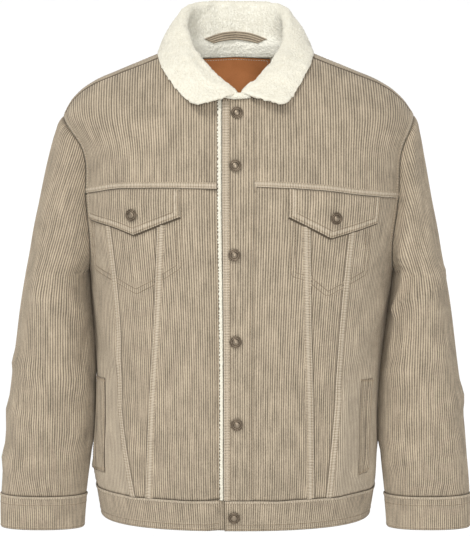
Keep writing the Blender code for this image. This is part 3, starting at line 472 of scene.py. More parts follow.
BODY_CREASES = creases(
    (0.15, -0.59, 0.16, -0.47, 0.016, 0.004), (0.235, -0.585, 0.215, -0.42, 0.02, 0.0045),
    (-0.15, -0.59, -0.165, -0.48, 0.016, 0.0035), (-0.24, -0.58, -0.225, -0.43, 0.02, 0.0045),
    (0.06, -0.59, 0.05, -0.52, 0.018, 0.003), (-0.07, -0.59, -0.06, -0.53, 0.018, 0.0025),
    (0.22, -0.345, 0.18, -0.4, 0.016, 0.0035), (-0.22, -0.35, -0.19, -0.41, 0.016, 0.003),
    (0.36, -0.34, 0.43, -0.42, 0.02, 0.005), (-0.36, -0.345, -0.42, -0.43, 0.02, 0.005),
    (0.46, -0.59, 0.47, -0.45, 0.022, 0.0045), (-0.45, -0.59, -0.465, -0.47, 0.022, 0.004),
    (0.37, -0.59, 0.375, -0.48, 0.018, 0.0035), (-0.36, -0.59, -0.37, -0.49, 0.018, 0.0035),
    # The sides fill out towards the sleeves.
    (0.2924, -0.345, 0.2924, -0.52, 0.03, 0.003), (-0.2924, -0.345, -0.2924, -0.415, 0.03, 0.003),
    # Small creases that only the looks have.
    (-0.246, -0.566, -0.272, -0.592, 0.0045, 0.0016), (-0.232, -0.578, -0.25, -0.597, 0.004, -0.0012),
    (0.17, -0.562, 0.214, -0.592, 0.005, 0.0015), (0.196, -0.56, 0.24, -0.584, 0.005, -0.0013),
    (0.252, -0.318, 0.214, -0.372, 0.0065, 0.0016), (0.268, -0.336, 0.238, -0.398, 0.006, -0.0014),
    (-0.25, -0.322, -0.216, -0.366, 0.0065, 0.0014), (-0.27, -0.345, -0.246, -0.404, 0.006, -0.0012),
    (0.214, -0.15, 0.176, -0.17, 0.01, 0.0012), (-0.214, -0.144, -0.184, -0.172, 0.01, 0.0012),
    (0.33, -0.33, 0.386, -0.386, 0.008, -0.0018), (-0.33, -0.332, -0.38, -0.392, 0.008, -0.0018),
    (0.42, -0.52, 0.5, -0.548, 0.009, 0.0017), (-0.43, -0.5, -0.52, -0.532, 0.009, 0.0015),
    (0.48, -0.26, 0.56, -0.276, 0.012, 0.0012), (-0.47, -0.218, -0.54, -0.232, 0.012, 0.0012),
)

SLEEVE_CREASES = {
    Side.LEFT: creases(
        (-0.75, -0.345, -0.25, -0.3, 0.014, 0.004), (-0.85, -0.44, -0.3, -0.405, 0.013, 0.0045),
        (-0.6, -0.5, 0.05, -0.47, 0.014, 0.004), (-0.8, -0.56, -0.2, -0.535, 0.012, 0.004),
        (0.3, -0.42, 0.85, -0.45, 0.015, 0.0045), (0.2, -0.52, 0.8, -0.54, 0.014, 0.004),
        # Small creases that only the looks have.
        (-0.34, -0.14, -0.46, -0.205, 0.0085, 0.0034), (-0.46, -0.205, -0.62, -0.28, 0.008, 0.004),
        (-0.62, -0.28, -0.75, -0.352, 0.0075, 0.0036), (-0.75, -0.352, -0.79, -0.408, 0.007, 0.0026),
        (-0.55, -0.15, -0.66, -0.23, 0.008, -0.0022), (-0.24, -0.17, -0.5, -0.285, 0.008, -0.002),
        (-0.67, -0.303, -0.45, -0.283, 0.0055, 0.0018), (-0.66, -0.338, -0.33, -0.316, 0.0055, 0.002),
        (-0.69, -0.404, -0.46, -0.389, 0.006, 0.0018), (-0.73, -0.453, -0.53, -0.437, 0.006, 0.0018),
        (-0.6, -0.42, -0.3, -0.408, 0.0065, -0.0016), (-0.42, -0.585, -0.2, -0.596, 0.005, 0.0014),
        (0.4, -0.38, 0.8, -0.352, 0.008, 0.0022), (0.45, -0.48, 0.9, -0.5, 0.008, -0.002),
    ),
    Side.RIGHT: creases(
        (-0.8, -0.36, -0.3, -0.32, 0.014, 0.0035), (-0.75, -0.455, -0.15, -0.425, 0.014, 0.0045),
        (-0.7, -0.52, 0.0, -0.495, 0.013, 0.004), (-0.55, -0.575, 0.1, -0.555, 0.012, 0.0035),
        (0.25, -0.43, 0.8, -0.465, 0.015, 0.0045), (0.25, -0.53, 0.85, -0.55, 0.014, 0.004),
        # Small creases that only the looks have.
        (-0.22, -0.19, -0.41, -0.336, 0.012, 0.0018), (-0.81, -0.372, -0.74, -0.414, 0.008, -0.002),
        (-0.19, -0.468, -0.57, -0.48, 0.006, 0.0016), (0.05, -0.495, -0.24, -0.508, 0.0065, -0.0014),
        (-0.6, -0.3, -0.4, -0.262, 0.009, 0.0014), (0.36, -0.372, 0.82, -0.35, 0.008, 0.002),
        (0.42, -0.492, 0.88, -0.512, 0.008, -0.002),
    ),
}


def unit(vectors: Array) -> Array:
    """The vectors at length one."""
    return vectors / np.maximum(np.linalg.norm(vectors, axis=-1, keepdims=True), 1e-12)


def smooth_step(share: Array) -> Array:
    """An eased share, level at 0 and at 1."""
    held = np.clip(share, 0, 1)
    return held * held * (3 - 2 * held)


def spaced(start: float, end: float, step: float) -> Array:
    """Even places from start to end, about a step apart."""
    return np.linspace(start, end, max(1, round(abs(end - start) / step)) + 1)


def level(height: float) -> Edge:
    """An end edge that runs level."""
    return lambda across: height + 0 * across


def upright(across: float) -> Edge:
    """A side edge that runs straight up the cloth."""
    return lambda up: across + 0 * up


def raised(height: float) -> Lift:
    """A lift that is the same all over the cloth."""
    return lambda across, up: height + 0.0 * across


def wale_rise(across: Array) -> Array:
    """The height of the cords at each place across the cloth, from 0 in a groove to 1 on a cord."""
    phase = (across / WALE) % 1
    return 1 - np.abs(2 * phase - 1) ** WALE_POWER


def wale_columns(start: float, end: float) -> Array:
    """Find the columns of a mesh that follow the cords between two places.

    Args:
        start: Lowest place across the cloth.
        end: Highest place across the cloth.

    Returns:
        The places of the columns, with both ends.
    """
    cords = np.arange(math.floor(start / WALE), math.ceil(end / WALE) + 1)
    places = (cords[:, None] + np.array(WALE_PHASES)).ravel() * WALE
    inside = places[(places > start + 0.0002) & (places < end - 0.0002)]
    return np.concatenate(([start], inside, [end]))


def row_shares(length: float, step: float) -> Array:
    """Place the rows of a panel, closer together beside both ends.

    Args:
        length: Length of the panel.
        step: Spacing of its middle rows.

    Returns:
        The rows as shares of the length, from 0 to 1.
    """
    near = np.array(EDGE_ROWS)
    near = near[near < length / 2.5]
    middle = spaced(near[-1], length - near[-1], step)[1:-1]
    return np.concatenate((near, middle, (length - near)[::-1])) / length


def heading(path: Path2) -> Array:
    """The direction of a path at each of its places, at length one."""
    return unit(np.stack((np.gradient(path[0]), np.gradient(path[1])), axis=-1))


def run_length(points: Array) -> Array:
    """The length of a line up to each of its points."""
    steps = np.linalg.norm(np.diff(points, axis=0), axis=-1)
    return np.concatenate(([0], np.cumsum(steps)))


def path_distance(across: Array, up: Array, corners: Iterable[tuple[float, float]]) -> Array:
    """Measure how far each place lies from a line of straight runs.

    Args:
        across: Places across the cloth.
        up: Places up the cloth.
        corners: The corners of the line.

    Returns:
        The distance of each place.
    """
    places = np.array(list(corners))
    best = np.full(np.shape(across), 1.0)
    for start, end in zip(places, places[1:]):
        run = end - start
        length = np.hypot(*run)
        off_x = across - start[0]
        off_y = up - start[1]
        along = np.clip((off_x * run[0] + off_y * run[1]) / length ** 2, 0, 1)
        best = np.minimum(best, np.hypot(off_x - along * run[0], off_y - along * run[1]))
    return best


class Waves:
    """A soft random surface made of a few plain waves, the same every time."""

    def __init__(self, seed: int, size: float, count: int = 14) -> None:
        """Draw the waves' directions, lengths and starts.

        Args:
            seed: Number that fixes the draw.
            size: Typical size of the bumps.
            count: How many waves are added.
        """
        draw = np.random.default_rng(seed)
        directions = unit(draw.normal(size=(count, 3)))
        self.waves = directions * (math.pi / size * draw.uniform(0.6, 1.5, size=(count, 1)))
        self.starts = draw.uniform(0, 2 * math.pi, size=count)

    def at(self, points: Array) -> Array:
        """The surface's value at each point, mostly between -1 and 1."""
        return np.cos(points @ self.waves.T + self.starts).sum(axis=-1) / math.sqrt(len(self.starts))


def pile_rise(points: Array, size: float) -> Array:
    """Work out the height of curly pile, in round clumps with creases between them.

    Args:
        points: Places in space, rows by columns.
        size: Width of a clump.

    Returns:
        The height at each point, from 0 between clumps to 1 on top of one.
    """
    flat = points.reshape(-1, 3) / size
    nearest = [noise.voronoi(Vector(place))[0] for place in flat]
    gaps = np.array([second - first for first, second, *_ in nearest])
    return np.sqrt(np.clip(gaps * 1.7, 0, 1)).reshape(points.shape[:-1])


class Cloth:
    """A surface that cloth lies on, over cloth coordinates."""

    def surface(self, across: Array, up: Array) -> Array:
        """Points of the plain surface."""
        raise NotImplementedError

    def fold(self, across: Array, up: Array) -> Array:
        """How far the folds and creases lift the cloth."""
        raise NotImplementedError

    def normal(self, across: Array, up: Array) -> Array:
        """The outward direction of the surface at each place."""
        step = 0.0008
        run = self.surface(across + step, up) - self.surface(across - step, up)
        climb = self.surface(across, up) - self.surface(across, up - step)
        return unit(np.cross(run, climb))

    def points(self, across: Array, up: Array, lift: Array | float = 0.0) -> Array:
        """Find points a given distance outside the folded surface.

        Args:
            across: Places across the cloth.
            up: Places up the cloth.
            lift: Distance outward from the surface.

        Returns:
            The points, with one more axis than the places.
        """
        rise = self.fold(across, up) + lift
        return self.surface(across, up) + self.normal(across, up) * rise[..., None]


class Torso(Cloth):
    """The hollow body. across is measured from the centre front round the chest."""

    def __init__(self) -> None:
        """Measure the chest ring, so that places round it can be found by length."""
        self.front_angles, self.front_lengths = self.half_ring(REFERENCE_FRONT)
        self.back_angles, self.back_lengths = self.half_ring(REFERENCE_BACK)
        self.side_seam = float(self.front_lengths[-1])
        self.half_girth = self.side_seam + float(self.back_lengths[-1])
        back_angles = math.pi - self.back_angles[::-1][1:]
        back_lengths = self.half_girth - self.back_lengths[::-1][1:]
        self.ring_angles = np.concatenate((self.front_angles, back_angles))
        self.ring_lengths = np.concatenate((self.front_lengths, back_lengths))

    @staticmethod
    def half_ring(depth: float) -> tuple[Array, Array]:
        """Measure a ring from its front or back to its side.

        Args:
            depth: How far the front or back lies from the middle.

        Returns:
            Angles along the ring, and the length along it to each.
        """
        angles = np.linspace(0, math.pi / 2, 400)
        x = REFERENCE_WIDTH * np.sin(angles) ** (2 / RING_POWER)
        y = depth * np.cos(angles) ** (2 / RING_POWER)
        steps = np.hypot(np.diff(x), np.diff(y))
        return angles, np.concatenate(([0], np.cumsum(steps)))

    @staticmethod
    def sideways(wide: Array, height: Array) -> Array:
        """Find the sideways place of a column, which spreads only near the shoulder tips.

        Args:
            wide: Share of the half width.
            height: Height of the place.

        Returns:
            The X of each place.
        """
        half = BODY.read("half_width", height)
        straight = np.where(height > -0.2, np.minimum(half, STRAIGHT_WIDTH), half)
        spread = (half - straight) * np.abs(wide) ** SPREAD_POWER
        return BODY.read("drift", height) * wide ** 2 + wide * (straight + spread)

    @staticmethod
    def shoulder_height(x: Array, height: Array) -> Array:
        """The height of the shoulder seam over a sideways place."""
        return SHOULDER.read("height", np.abs(x - BODY.read("drift", height)))

    def wrap(self, across: Array) -> Array:
        """Places brought between one back centre and the other."""
        return (np.asarray(across, float) + self.half_girth) % (2 * self.half_girth) - self.half_girth

    def ring_place(self, across: Array) -> tuple[Array, Array, Array]:
        """Find where a place lies on its ring.

        Args:
            across: Places across the cloth.

        Returns:
            Shares of the half width and of the depth, and the height of the shoulder cap.
        """
        wrapped = self.wrap(across)
        angle = np.interp(np.abs(wrapped), self.ring_lengths, self.ring_angles)
        wide = np.where(wrapped < 0, -1, 1) * np.sin(angle) ** (2 / RING_POWER)
        deep = np.abs(np.cos(angle)) ** (2 / RING_POWER) * np.where(angle <= math.pi / 2, -1, 1)
        return wide, deep, np.where(deep < 0, FRONT_CAP, BACK_CAP)

    def surface(self, across: Array, up: Array) -> Array:
        """Points of the body's outer surface for each place in cloth coordinates."""
        across, up = np.broadcast_arrays(np.asarray(across, float), np.asarray(up, float))
        wide, deep, cap = self.ring_place(across)
        height = np.minimum(up, 0.0)
        turn = np.zeros_like(height)
        for _ in range(8):
            start = self.shoulder_height(self.sideways(wide, height), height) - cap
            turn = np.clip((up - start) / (cap * math.pi / 2), 0, 1)
            height = np.where(up < start, up, start + cap * np.sin(turn * math.pi / 2))
        depth = np.where(deep < 0, BODY.read("front", height), BODY.read("back", height))
        y = SHOULDER_DEPTH + depth * deep * np.cos(turn * math.pi / 2)
        return np.stack((self.sideways(wide, height), y, height), axis=-1)

    def fold(self, across: Array, up: Array) -> Array:
        """How far the folds and creases of the body lift the cloth."""
        return sum(crease.rise(across, up) for crease in BODY_CREASES)

    def across_of(self, x: Array | float, height: Array | float) -> Array:
        """Find the place of a point on the front that is known by its sideways distance.

        Args:
            x: Sideways distance from the centre plane.
            height: Height of the point.

        Returns:
            The place across the cloth.
        """
        height = np.asarray(height, float)
        half = BODY.read("half_width", height)
        wide = x / half
        for _ in range(3):
            wide = np.clip((x - BODY.read("drift", height) * wide ** 2) / half, -1, 1)
        angle = np.arcsin(np.abs(wide) ** (RING_POWER / 2))
        return np.sign(wide) * np.interp(angle, self.front_angles, self.front_lengths)

    @staticmethod
    def armhole_angle(height: Array) -> Array:
        """The ring angle of the front armhole edge, which closes to the side seam at the underarm."""
        below = np.clip((ARMHOLE_TURN - height) / (ARMHOLE_TURN - UNDERARM), 0, 1)
        opening = (1 - below ** ARMHOLE_POWER) ** (1 / ARMHOLE_POWER)
        return math.pi / 2 - (math.pi / 2 - ARMHOLE_ANGLE) * opening

    def armhole_across(self, height: Array | float, back: bool = False) -> Array:
        """Find the armhole edge or, below the underarm, the side seam.

        Args:
            height: Places up the cloth.
            back: Whether the back edge is wanted.

        Returns:
            The places across the cloth, on the wearer's left.
        """
        angle = self.armhole_angle(np.asarray(height, float))
        if back:
            return self.half_girth - np.interp(angle, self.back_angles, self.back_lengths)
        return np.interp(angle, self.front_angles, self.front_lengths)

    def shoulder_rise(self, across: Array) -> Array:
        """Find how far up the cloth the shoulder seam lies.

        Args:
            across: Places across the front or back.

        Returns:
            The rise of the seam at each place.
        """
        wide, _, cap = self.ring_place(across)
        height = np.full(np.shape(across), -0.02)
        for _ in range(8):
            height = self.shoulder_height(self.sideways(wide, height), height)
        return height - cap + cap * math.pi / 2

    def neck_rise(self, across: Array) -> Array:
        """Find how far up a panel reaches: to the neck seam, or beyond it to the shoulder seam.

        Args:
            across: Places across the cloth.

        Returns:
            The rise of the panel's upper edge.
        """
        wrapped = self.wrap(across)
        back = np.abs(wrapped) > self.side_seam
        reach = np.where(back, self.half_girth - np.abs(wrapped), np.abs(wrapped))
        corner = np.where(back, self.half_girth - NECK_HALF_WIDTH, NECK_HALF_WIDTH) * np.sign(wrapped)
        lowest = np.where(back, BACK_NECK_RISE, FRONT_NECK_RISE)
        highest = self.shoulder_rise(corner)
        share = np.clip(reach / NECK_HALF_WIDTH, 0, 1)
        curve = highest - (highest - lowest) * (1 - share ** NECK_POWER) ** (1 / NECK_POWER)
        return np.where(reach < NECK_HALF_WIDTH, curve, self.shoulder_rise(across))

    @staticmethod
    def yoke_rise(side: Side, across: Array) -> Array:
        """How far up one front the yoke seam lies."""
        return YOKE_SEAM[side].read("rise", np.maximum(side.value * across, 0))

    def v_seam(self, side: Side, which: str, shift: float = 0.0) -> Edge:
        """A side edge along one of the V seams."""
        table = V_SEAMS[side]
        return lambda up: self.across_of(side.value * table.read(which, up), up) + shift


class Arm(Cloth):
    """One hollow sleeve. across is 0 on the outer line and grows with the body's own direction."""

    def __init__(self, side: Side, torso: Torso) -> None:
        """Find where the sleeve meets the shoulder.

        Args:
            side: The wearer's side.
            torso: The body that the sleeve is set into.
        """
        self.side = side
        self.torso = torso
        self.tip = self.shoulder_tip()
        self.full = float(self.section_arc(self.section(np.array(UNDERARM)))[2][-1])
        self.heights = UNDERARM + (self.tip - UNDERARM) * np.sin(np.linspace(0, math.pi / 2, 300))
        self.lengths = self.section_arc(self.section(self.heights))[2][..., -1] - ARMHOLE_GAP

    def share(self, across: Array) -> Array:
        """Shares of the half girth, from -1 at the front underarm to 1 at the back one."""
        return np.asarray(across, float) * self.side.value / SLEEVE_SHARE

    def across_range(self, start: float, end: float) -> tuple[float, float]:
        """The places of two shares, the lower place first."""
        ends = sorted(self.side.value * SLEEVE_SHARE * share for share in (start, end))
        return ends[0], ends[1]

    def armhole_place(self, height: Array) -> tuple[Array, Array, Array]:
        """Find the armhole at a height.

        Args:
            height: Heights of the places.

        Returns:
            Distance from the centre plane, middle depth and half span.
        """
        side = self.side.value
        angle = self.torso.armhole_angle(height)
        wide = side * np.sin(angle) ** (2 / RING_POWER)
        deep = np.abs(np.cos(angle)) ** (2 / RING_POWER)
        x = self.torso.sideways(wide, height)
        ends = []
        for column, cap, sign in (("front", FRONT_CAP, -1), ("back", BACK_CAP, 1)):
            start = self.torso.shoulder_height(x, height) - cap
            climb = np.clip((height - start) / cap, 0, 1)
            reach = BODY.read(column, height) * deep * np.sqrt(1 - climb ** 2)
            ends.append(SHOULDER_DEPTH + sign * reach)
        return side * x, (ends[0] + ends[1]) / 2, (ends[1] - ends[0]) / 2

    def shoulder_tip(self) -> float:
        """The height at which the armhole edge meets the shoulder seam."""
        heights = np.linspace(-0.12, -0.06, 601)
        wide = self.side.value * np.sin(self.torso.armhole_angle(heights)) ** (2 / RING_POWER)
        x = self.torso.sideways(wide, heights)
        return float(heights[np.argmin(np.abs(self.torso.shoulder_height(x, heights) - heights))])

    def section(self, height: Array) -> dict[str, Array]:
        """Find the squared oval of the sleeve at a height.

        Args:
            height: Heights of the sections.

        Returns:
            Its centre, half sizes and where the body cuts it off.
        """
        table_tip = SLEEVE_HEAD.along[-1]
        head = np.clip((height - UNDERARM) / (self.tip - UNDERARM), 0, 1)
        head_height = UNDERARM + head * (table_tip - UNDERARM)
        edge, middle, span = self.armhole_place(np.clip(height, UNDERARM, self.tip))
        edge = edge + ARMHOLE_GAP
        tip_edge = self.armhole_place(np.array(self.tip))[0] + ARMHOLE_GAP
        tip_shift = (tip_edge - SLEEVE_HEAD.read("outer", table_tip)) * head ** 4
        pinch = np.clip(SLEEVE_HEAD.read("pinch", head_height), 0, 1)
        outer = SLEEVE_HEAD.read("outer", head_height) + tip_shift
        free_depth = span / np.maximum(1 - pinch ** SLEEVE_POWER, 1e-6) ** (1 / SLEEVE_POWER)
        low_share = smooth_step((height - UNDERARM) / (HEAD_DEPTH_HEIGHT - UNDERARM))
        base_depth = SLEEVE.read("half_depth", UNDERARM) + 0 * height
        low_depth = base_depth + (HEAD_DEPTH - base_depth) * low_share
        half_depth = np.maximum(np.where(low_share < 1, low_depth, free_depth), span * 1.0005 + 1e-6)
        pinch = (1 - np.clip(span / half_depth, 0, 1) ** SLEEVE_POWER) ** (1 / SLEEVE_POWER)
        half_width = (outer - edge) / (1 + pinch)
        blend = smooth_step((height - BLEND_START) / (BLEND_END - BLEND_START))
        below = height < UNDERARM
        inner = SLEEVE.read("inner", height) + self.side.value * BODY.read("drift", height)
        low_outer = SLEEVE.read("outer", height)
        return {
            "half_width": np.where(below, (low_outer - inner) / 2, half_width),
            "centre_x": np.where(below, (low_outer + inner) / 2, outer - half_width),
            "half_depth": np.where(below, SLEEVE.read("half_depth", height), half_depth),
            "centre_y": middle * blend + SLEEVE.read("centre", height) * (1 - blend),
            "pinch": np.where(below, 1.0, pinch),
        }

    @staticmethod
    def section_arc(section: dict[str, Array]) -> tuple[Array, Array, Array]:
        """Follow half a section from its outermost point.

        Args:
            section: Sizes from section().

        Returns:
            Sideways and depth places along the half, and the length to each.
        """
        end = math.pi - np.arccos(np.clip(section["pinch"], 0, 1) ** (SLEEVE_POWER / 2))
        turn = end[..., None] * np.linspace(0, 1, SECTION_SAMPLES)
        cosine = np.cos(turn)
        x = section["half_width"][..., None] * np.sign(cosine) * np.abs(cosine) ** (2 / SLEEVE_POWER)
        y = section["half_depth"][..., None] * np.sin(turn) ** (2 / SLEEVE_POWER)
        steps = np.hypot(np.diff(x, axis=-1), np.diff(y, axis=-1))
        start = np.zeros(steps.shape[:-1] + (1,))
        return x, y, np.concatenate((start, np.cumsum(steps, axis=-1)), axis=-1)

    def surface(self, across: Array, up: Array) -> Array:
        """Points of the sleeve's outer surface for each place in cloth coordinates."""
        share, height = np.broadcast_arrays(self.share(across), np.asarray(up, float))
        section = self.section(height)
        x, y, lengths = self.section_arc(section)
        part = np.abs(share)
        spare = np.maximum(0, self.full - lengths[..., -1])
        taper = spare * np.where(height < UNDERARM, part ** (1 + TAPER_POWER), 0)
        wanted = np.minimum(self.full * part - taper, lengths[..., -1])
        place = (lengths < wanted[..., None]).sum(axis=-1).clip(1, lengths.shape[-1] - 1)

        def pick(values: Array, index: Array) -> Array:
            return np.take_along_axis(values, index[..., None], axis=-1)[..., 0]

        before = pick(lengths, place - 1)
        gap = np.maximum(pick(lengths, place) - before, 1e-9)
        blend = np.clip((wanted - before) / gap, 0, 1)
        along_x = pick(x, place - 1) * (1 - blend) + pick(x, place) * blend
        along_y = pick(y, place - 1) * (1 - blend) + pick(y, place) * blend
        point_x = self.side.value * (section["centre_x"] + along_x)
        point_y = section["centre_y"] + np.sign(share) * along_y
        return np.stack((point_x, point_y, height + 0 * point_x), axis=-1)

    def fold(self, across: Array, up: Array) -> Array:
        """How far the folds and creases of the sleeve lift the cloth."""
        share = self.share(across)
        eased = 1 - INNER_EASE * smooth_step((np.abs(share) - INNER_EASE_START) / INNER_EASE_RAMP)
        return eased * sum(crease.rise(share, up, SLEEVE_SHARE) for crease in SLEEVE_CREASES[self.side])

    def normal(self, across: Array, up: Array) -> Array:
        """The outward direction of the sleeve, taken a little below the armhole, where it is free."""
        across, up = np.broadcast_arrays(np.asarray(across, float), np.asarray(up, float))
        return super().normal(across, np.minimum(up, self.top(across) - NORMAL_STEP_BACK))

    def points(self, across: Array, up: Array, lift: Array | float = 0.0) -> Array:
        """Find points outside the folded sleeve, whose inner side is brought close to the body.

        The gap is left from the body's plain side and its creases. Cords, seam bands and the sleeve's own
        folds are not allowed for, so the sleeve's back piece cuts a little into the body's side.

        Args:
            across: Places across the sleeve.
            up: Heights on the sleeve.
            lift: Distance outward from the surface.

        Returns:
            The points, with one more axis than the places.
        """
        moved = super().points(across, up, lift)
        height = np.clip(up, SLEEVE.along[0], UNDERARM)
        sign = self.side.value
        inner = SLEEVE.read("inner", height) + sign * BODY.read("drift", height)
        offset = SLEEVE.read("centre", height) - SHOULDER_DEPTH
        wide = (1 - np.abs(offset / BODY.read("front", height)) ** RING_POWER) ** (1 / RING_POWER)
        bulge = self.torso.fold(sign * (self.torso.side_seam + offset), height)
        below_welt_top = smooth_step((WELT_TOP + NESTLE_WELT_START - height) / NESTLE_WELT_RAMP)
        welt = NESTLE_WELT * below_welt_top * (self.side is Side.RIGHT)
        drift = BODY.read("drift", height) * sign * wide ** 2
        edge = drift + (BODY.read("half_width", height) + bulge + welt) * wide
        fade = smooth_step((height - NESTLE_FOOT) / NESTLE_FOOT_RAMP)
        fade = fade * smooth_step((UNDERARM - np.asarray(up)) / NESTLE_TOP_RAMP)
        reach = smooth_step((np.abs(self.share(across)) - NESTLE_START) / NESTLE_RAMP)
        moved[..., 0] -= sign * np.maximum(0, inner - edge - NESTLE_GAP) * fade * reach
        return moved

    def top(self, across: Array) -> Array:
        """The height at which each column of the sleeve meets the armhole."""
        return np.interp(-np.abs(self.share(across)) * self.full, -self.lengths, self.heights)


class CollarForm:
    """The folded collar: its seam, roll and edge, and the sections between them."""

    def __init__(self, torso: Torso) -> None:
        """Follow the neck seam and the skin of the body under the collar.

        Args:
            torso: The body that the collar is sewn to.
        """
        back = np.linspace(torso.half_girth, torso.half_girth - NECK_HALF_WIDTH, 200)
        front = NECK_HALF_WIDTH * np.cos(np.linspace(0, math.pi / 2, 300))
        across = np.concatenate((back, front[front > NECK_END]))
        self.seam = torso.points(across, torso.neck_rise(across))
        reach = np.linspace(-0.2, 0.2, 81)
        across = np.concatenate((reach, torso.half_girth + reach))
        low = np.where(np.abs(across) > torso.side_seam, -0.05, -0.15)
        up = low + np.linspace(0, 1, 40)[:, None] * (torso.neck_rise(across) - low)
        across = across + 0 * up
        self.skin = torso.surface(across, up).reshape(-1, 3)
        self.facing = torso.normal(across, up).reshape(-1, 3)

    def lines(self, along: Array) -> tuple[Array, Array, Array]:
        """Find the collar's three lines.

        Args:
            along: Places from the right front end (-1) to the left one (1).

        Returns:
            Seam, roll and edge points.
        """
        half = np.abs(along)
        mirror = np.ones((len(along), 3))
        mirror[:, 0] = np.where(along < 0, -1, 1)
        shift = np.zeros((len(along), 3))
        shift[:, 0] = COLLAR_DRIFT * np.clip(2 * half - 1, 0, 1)
        roll, edge = (
            np.stack([COLLAR.read(f"{line}_{axis}", half) for axis in "xyz"], axis=-1) * mirror + shift
            for line in ("roll", "edge"))
        nearest = [np.argmin(((self.seam - point) ** 2).sum(axis=1)) for point in roll * mirror]
        neck = self.seam[nearest]
        neck -= unit(neck * (1, 1, 0)) * STAND_INSET
        neck[:, 2] += STAND_LIFT
        return neck * mirror, roll, edge

    def face(self, along: Array, counts: tuple[int, int, int]) -> tuple[Array, Array]:
        """Lay out the sherpa face up the stand, over the roll and down the fall.

        Args:
            along: Places from the right front end (-1) to the left one (1).
            counts: Rows of the stand, the roll and the fall.

        Returns:
            The points, places along by rows, and the outward direction of each.
        """
        neck, roll, edge = self.lines(along)
        run = unit(self.lines(np.clip(along + 0.01, -1, 1))[1] - self.lines(np.clip(along - 0.01, -1, 1))[1])
        rise = roll - (neck + edge) / 2
        rise = unit(rise - (rise * run).sum(axis=1, keepdims=True) * run)
        out = np.cross(rise, run)
        radius = COLLAR.read("radius", np.abs(along))
        centre = roll - rise * radius[:, None]
        ends = []
        for point, sign in ((neck, -1), (edge, 1)):
            offset = point - centre
            x, z, aside = ((offset * axis).sum(axis=1) for axis in (out, rise, run))
            bearing = np.arctan2(x, z)
            bearing = np.where(sign * bearing < 0, bearing + sign * 2 * math.pi, bearing)
            touch = bearing - sign * np.arccos(np.minimum(1, radius / np.hypot(x, z)))
            ends.append((x, z, aside, touch))
        (neck_x, neck_z, neck_aside, start), (edge_x, edge_z, edge_aside, finish) = ends
        rows = []
        for share in np.linspace(0, 1, counts[0])[:-1]:
            x = neck_x * (1 - share) + radius * np.sin(start) * share
            z = neck_z * (1 - share) + radius * np.cos(start) * share
            rows.append((x, z, neck_aside * (1 - share), start))
        for share in np.linspace(0, 1, counts[1]):
            turn = start + (finish - start) * share
            rows.append((radius * np.sin(turn), radius * np.cos(turn), 0 * turn, turn))
        for share in np.linspace(0, 1, counts[2] + 1)[1:]:
            bow = COLLAR_BOW * math.sin(math.pi * share)
            x = radius * np.sin(finish) * (1 - share) + edge_x * share + bow * np.sin(finish)
            z = radius * np.cos(finish) * (1 - share) + edge_z * share + bow * np.cos(finish)
            rows.append((x, z, edge_aside * share ** 2, finish))
        x, z, aside, turn = (np.stack(values, axis=1)[..., None] for values in zip(*rows))
        points = centre[:, None] + out[:, None] * x + rise[:, None] * z + run[:, None] * aside
        points = self.shaped(along, points)
        facing = out[:, None] * np.sin(turn) + rise[:, None] * np.cos(turn)
        under = counts[0] + counts[1] // 2
        points[:, under:] = self.keep_off(points[:, under:], COLLAR_CLEARANCE)
        return points, facing

    @staticmethod
    def shaped(along: Array, face: Array) -> Array:
        """Fill out the right leaf, bring the front ends together and round both tips.

        Args:
            along: Places from the right front end (-1) to the left one (1).
            face: The face, places along by rows, with the outer edge last.

        Returns:
            The moved face.
        """
        steps = np.linalg.norm(np.diff(face, axis=1), axis=-1)
        from_edge = np.zeros(face.shape[:2])
        from_edge[:, :-1] = np.cumsum(steps[:, ::-1], axis=1)[:, ::-1]
        side = np.where(along < 0, 1.0, -1.0)[:, None, None]
        to_roll = -unit(np.gradient(face, axis=1))
        to_back = unit(np.gradient(face, axis=0)) * side
        half = np.abs(along)[:, None]
        right = (along < 0)[:, None]
        radius = np.where(right, *TIP_RADII)
        near_end = np.clip(radius - (1 - half) * LEAF_LENGTH, 0, None)
        near_edge = np.clip(radius - from_edge, 0, None)
        beyond = np.hypot(near_end, near_edge) + 1e-9
        cut = 1 - np.maximum(near_end, near_edge) / beyond
        fill = right * np.exp(-((half - LEAF_FILL_PLACE) / LEAF_FILL_SPREAD) ** 2)
        fill = fill * LEAF_FILL * np.clip(1 - from_edge / LEAF_FILL_DEPTH, 0, 1) ** 1.5
        meet = smooth_step((half - MEET_START) / MEET_RAMP)
        meet = meet * smooth_step((from_edge - MEET_INSET) / MEET_INSET_RAMP)
        moved = face + to_roll * (near_edge * cut - fill)[..., None] + to_back * (near_end * cut)[..., None]
        moved[..., 0] += side[..., 0] * FRONT_END_GAP * meet
        return moved

    def keep_off(self, points: Array, clearance: float) -> Array:
        """Push points out until they lie a clear distance outside the shoulders and fronts.

        Args:
            points: The points to move.
            clearance: The smallest distance to the cloth below.

        Returns:
            The moved points.
        """
        flat = points.reshape(-1, 3)
        nearest = np.array([np.argmin(((self.skin - point) ** 2).sum(axis=1)) for point in flat])
        offset = flat - self.skin[nearest]
        height = (offset * self.facing[nearest]).sum(axis=1)
        near = smooth_step(PUSH_REACH - np.linalg.norm(offset, axis=1) / clearance)
        push = (near * np.maximum(0, clearance - height)).reshape(points.shape[:2])
        push = push * smooth_step(np.arange(push.shape[1]) / (push.shape[1] * PUSH_RAMP))
        for places in (SMOOTH_PLACES, SMOOTH_ROWS):
            if len(push) > places:
                kernel = np.ones(places) / places
                padded = np.pad(push, ((places // 2,) * 2, (0, 0)), mode="edge")
                push = np.stack([np.convolve(row, kernel, mode="valid") for row in padded.T], axis=-1)
            push = push.T
        return points + self.facing[nearest].reshape(points.shape) * push[..., None]


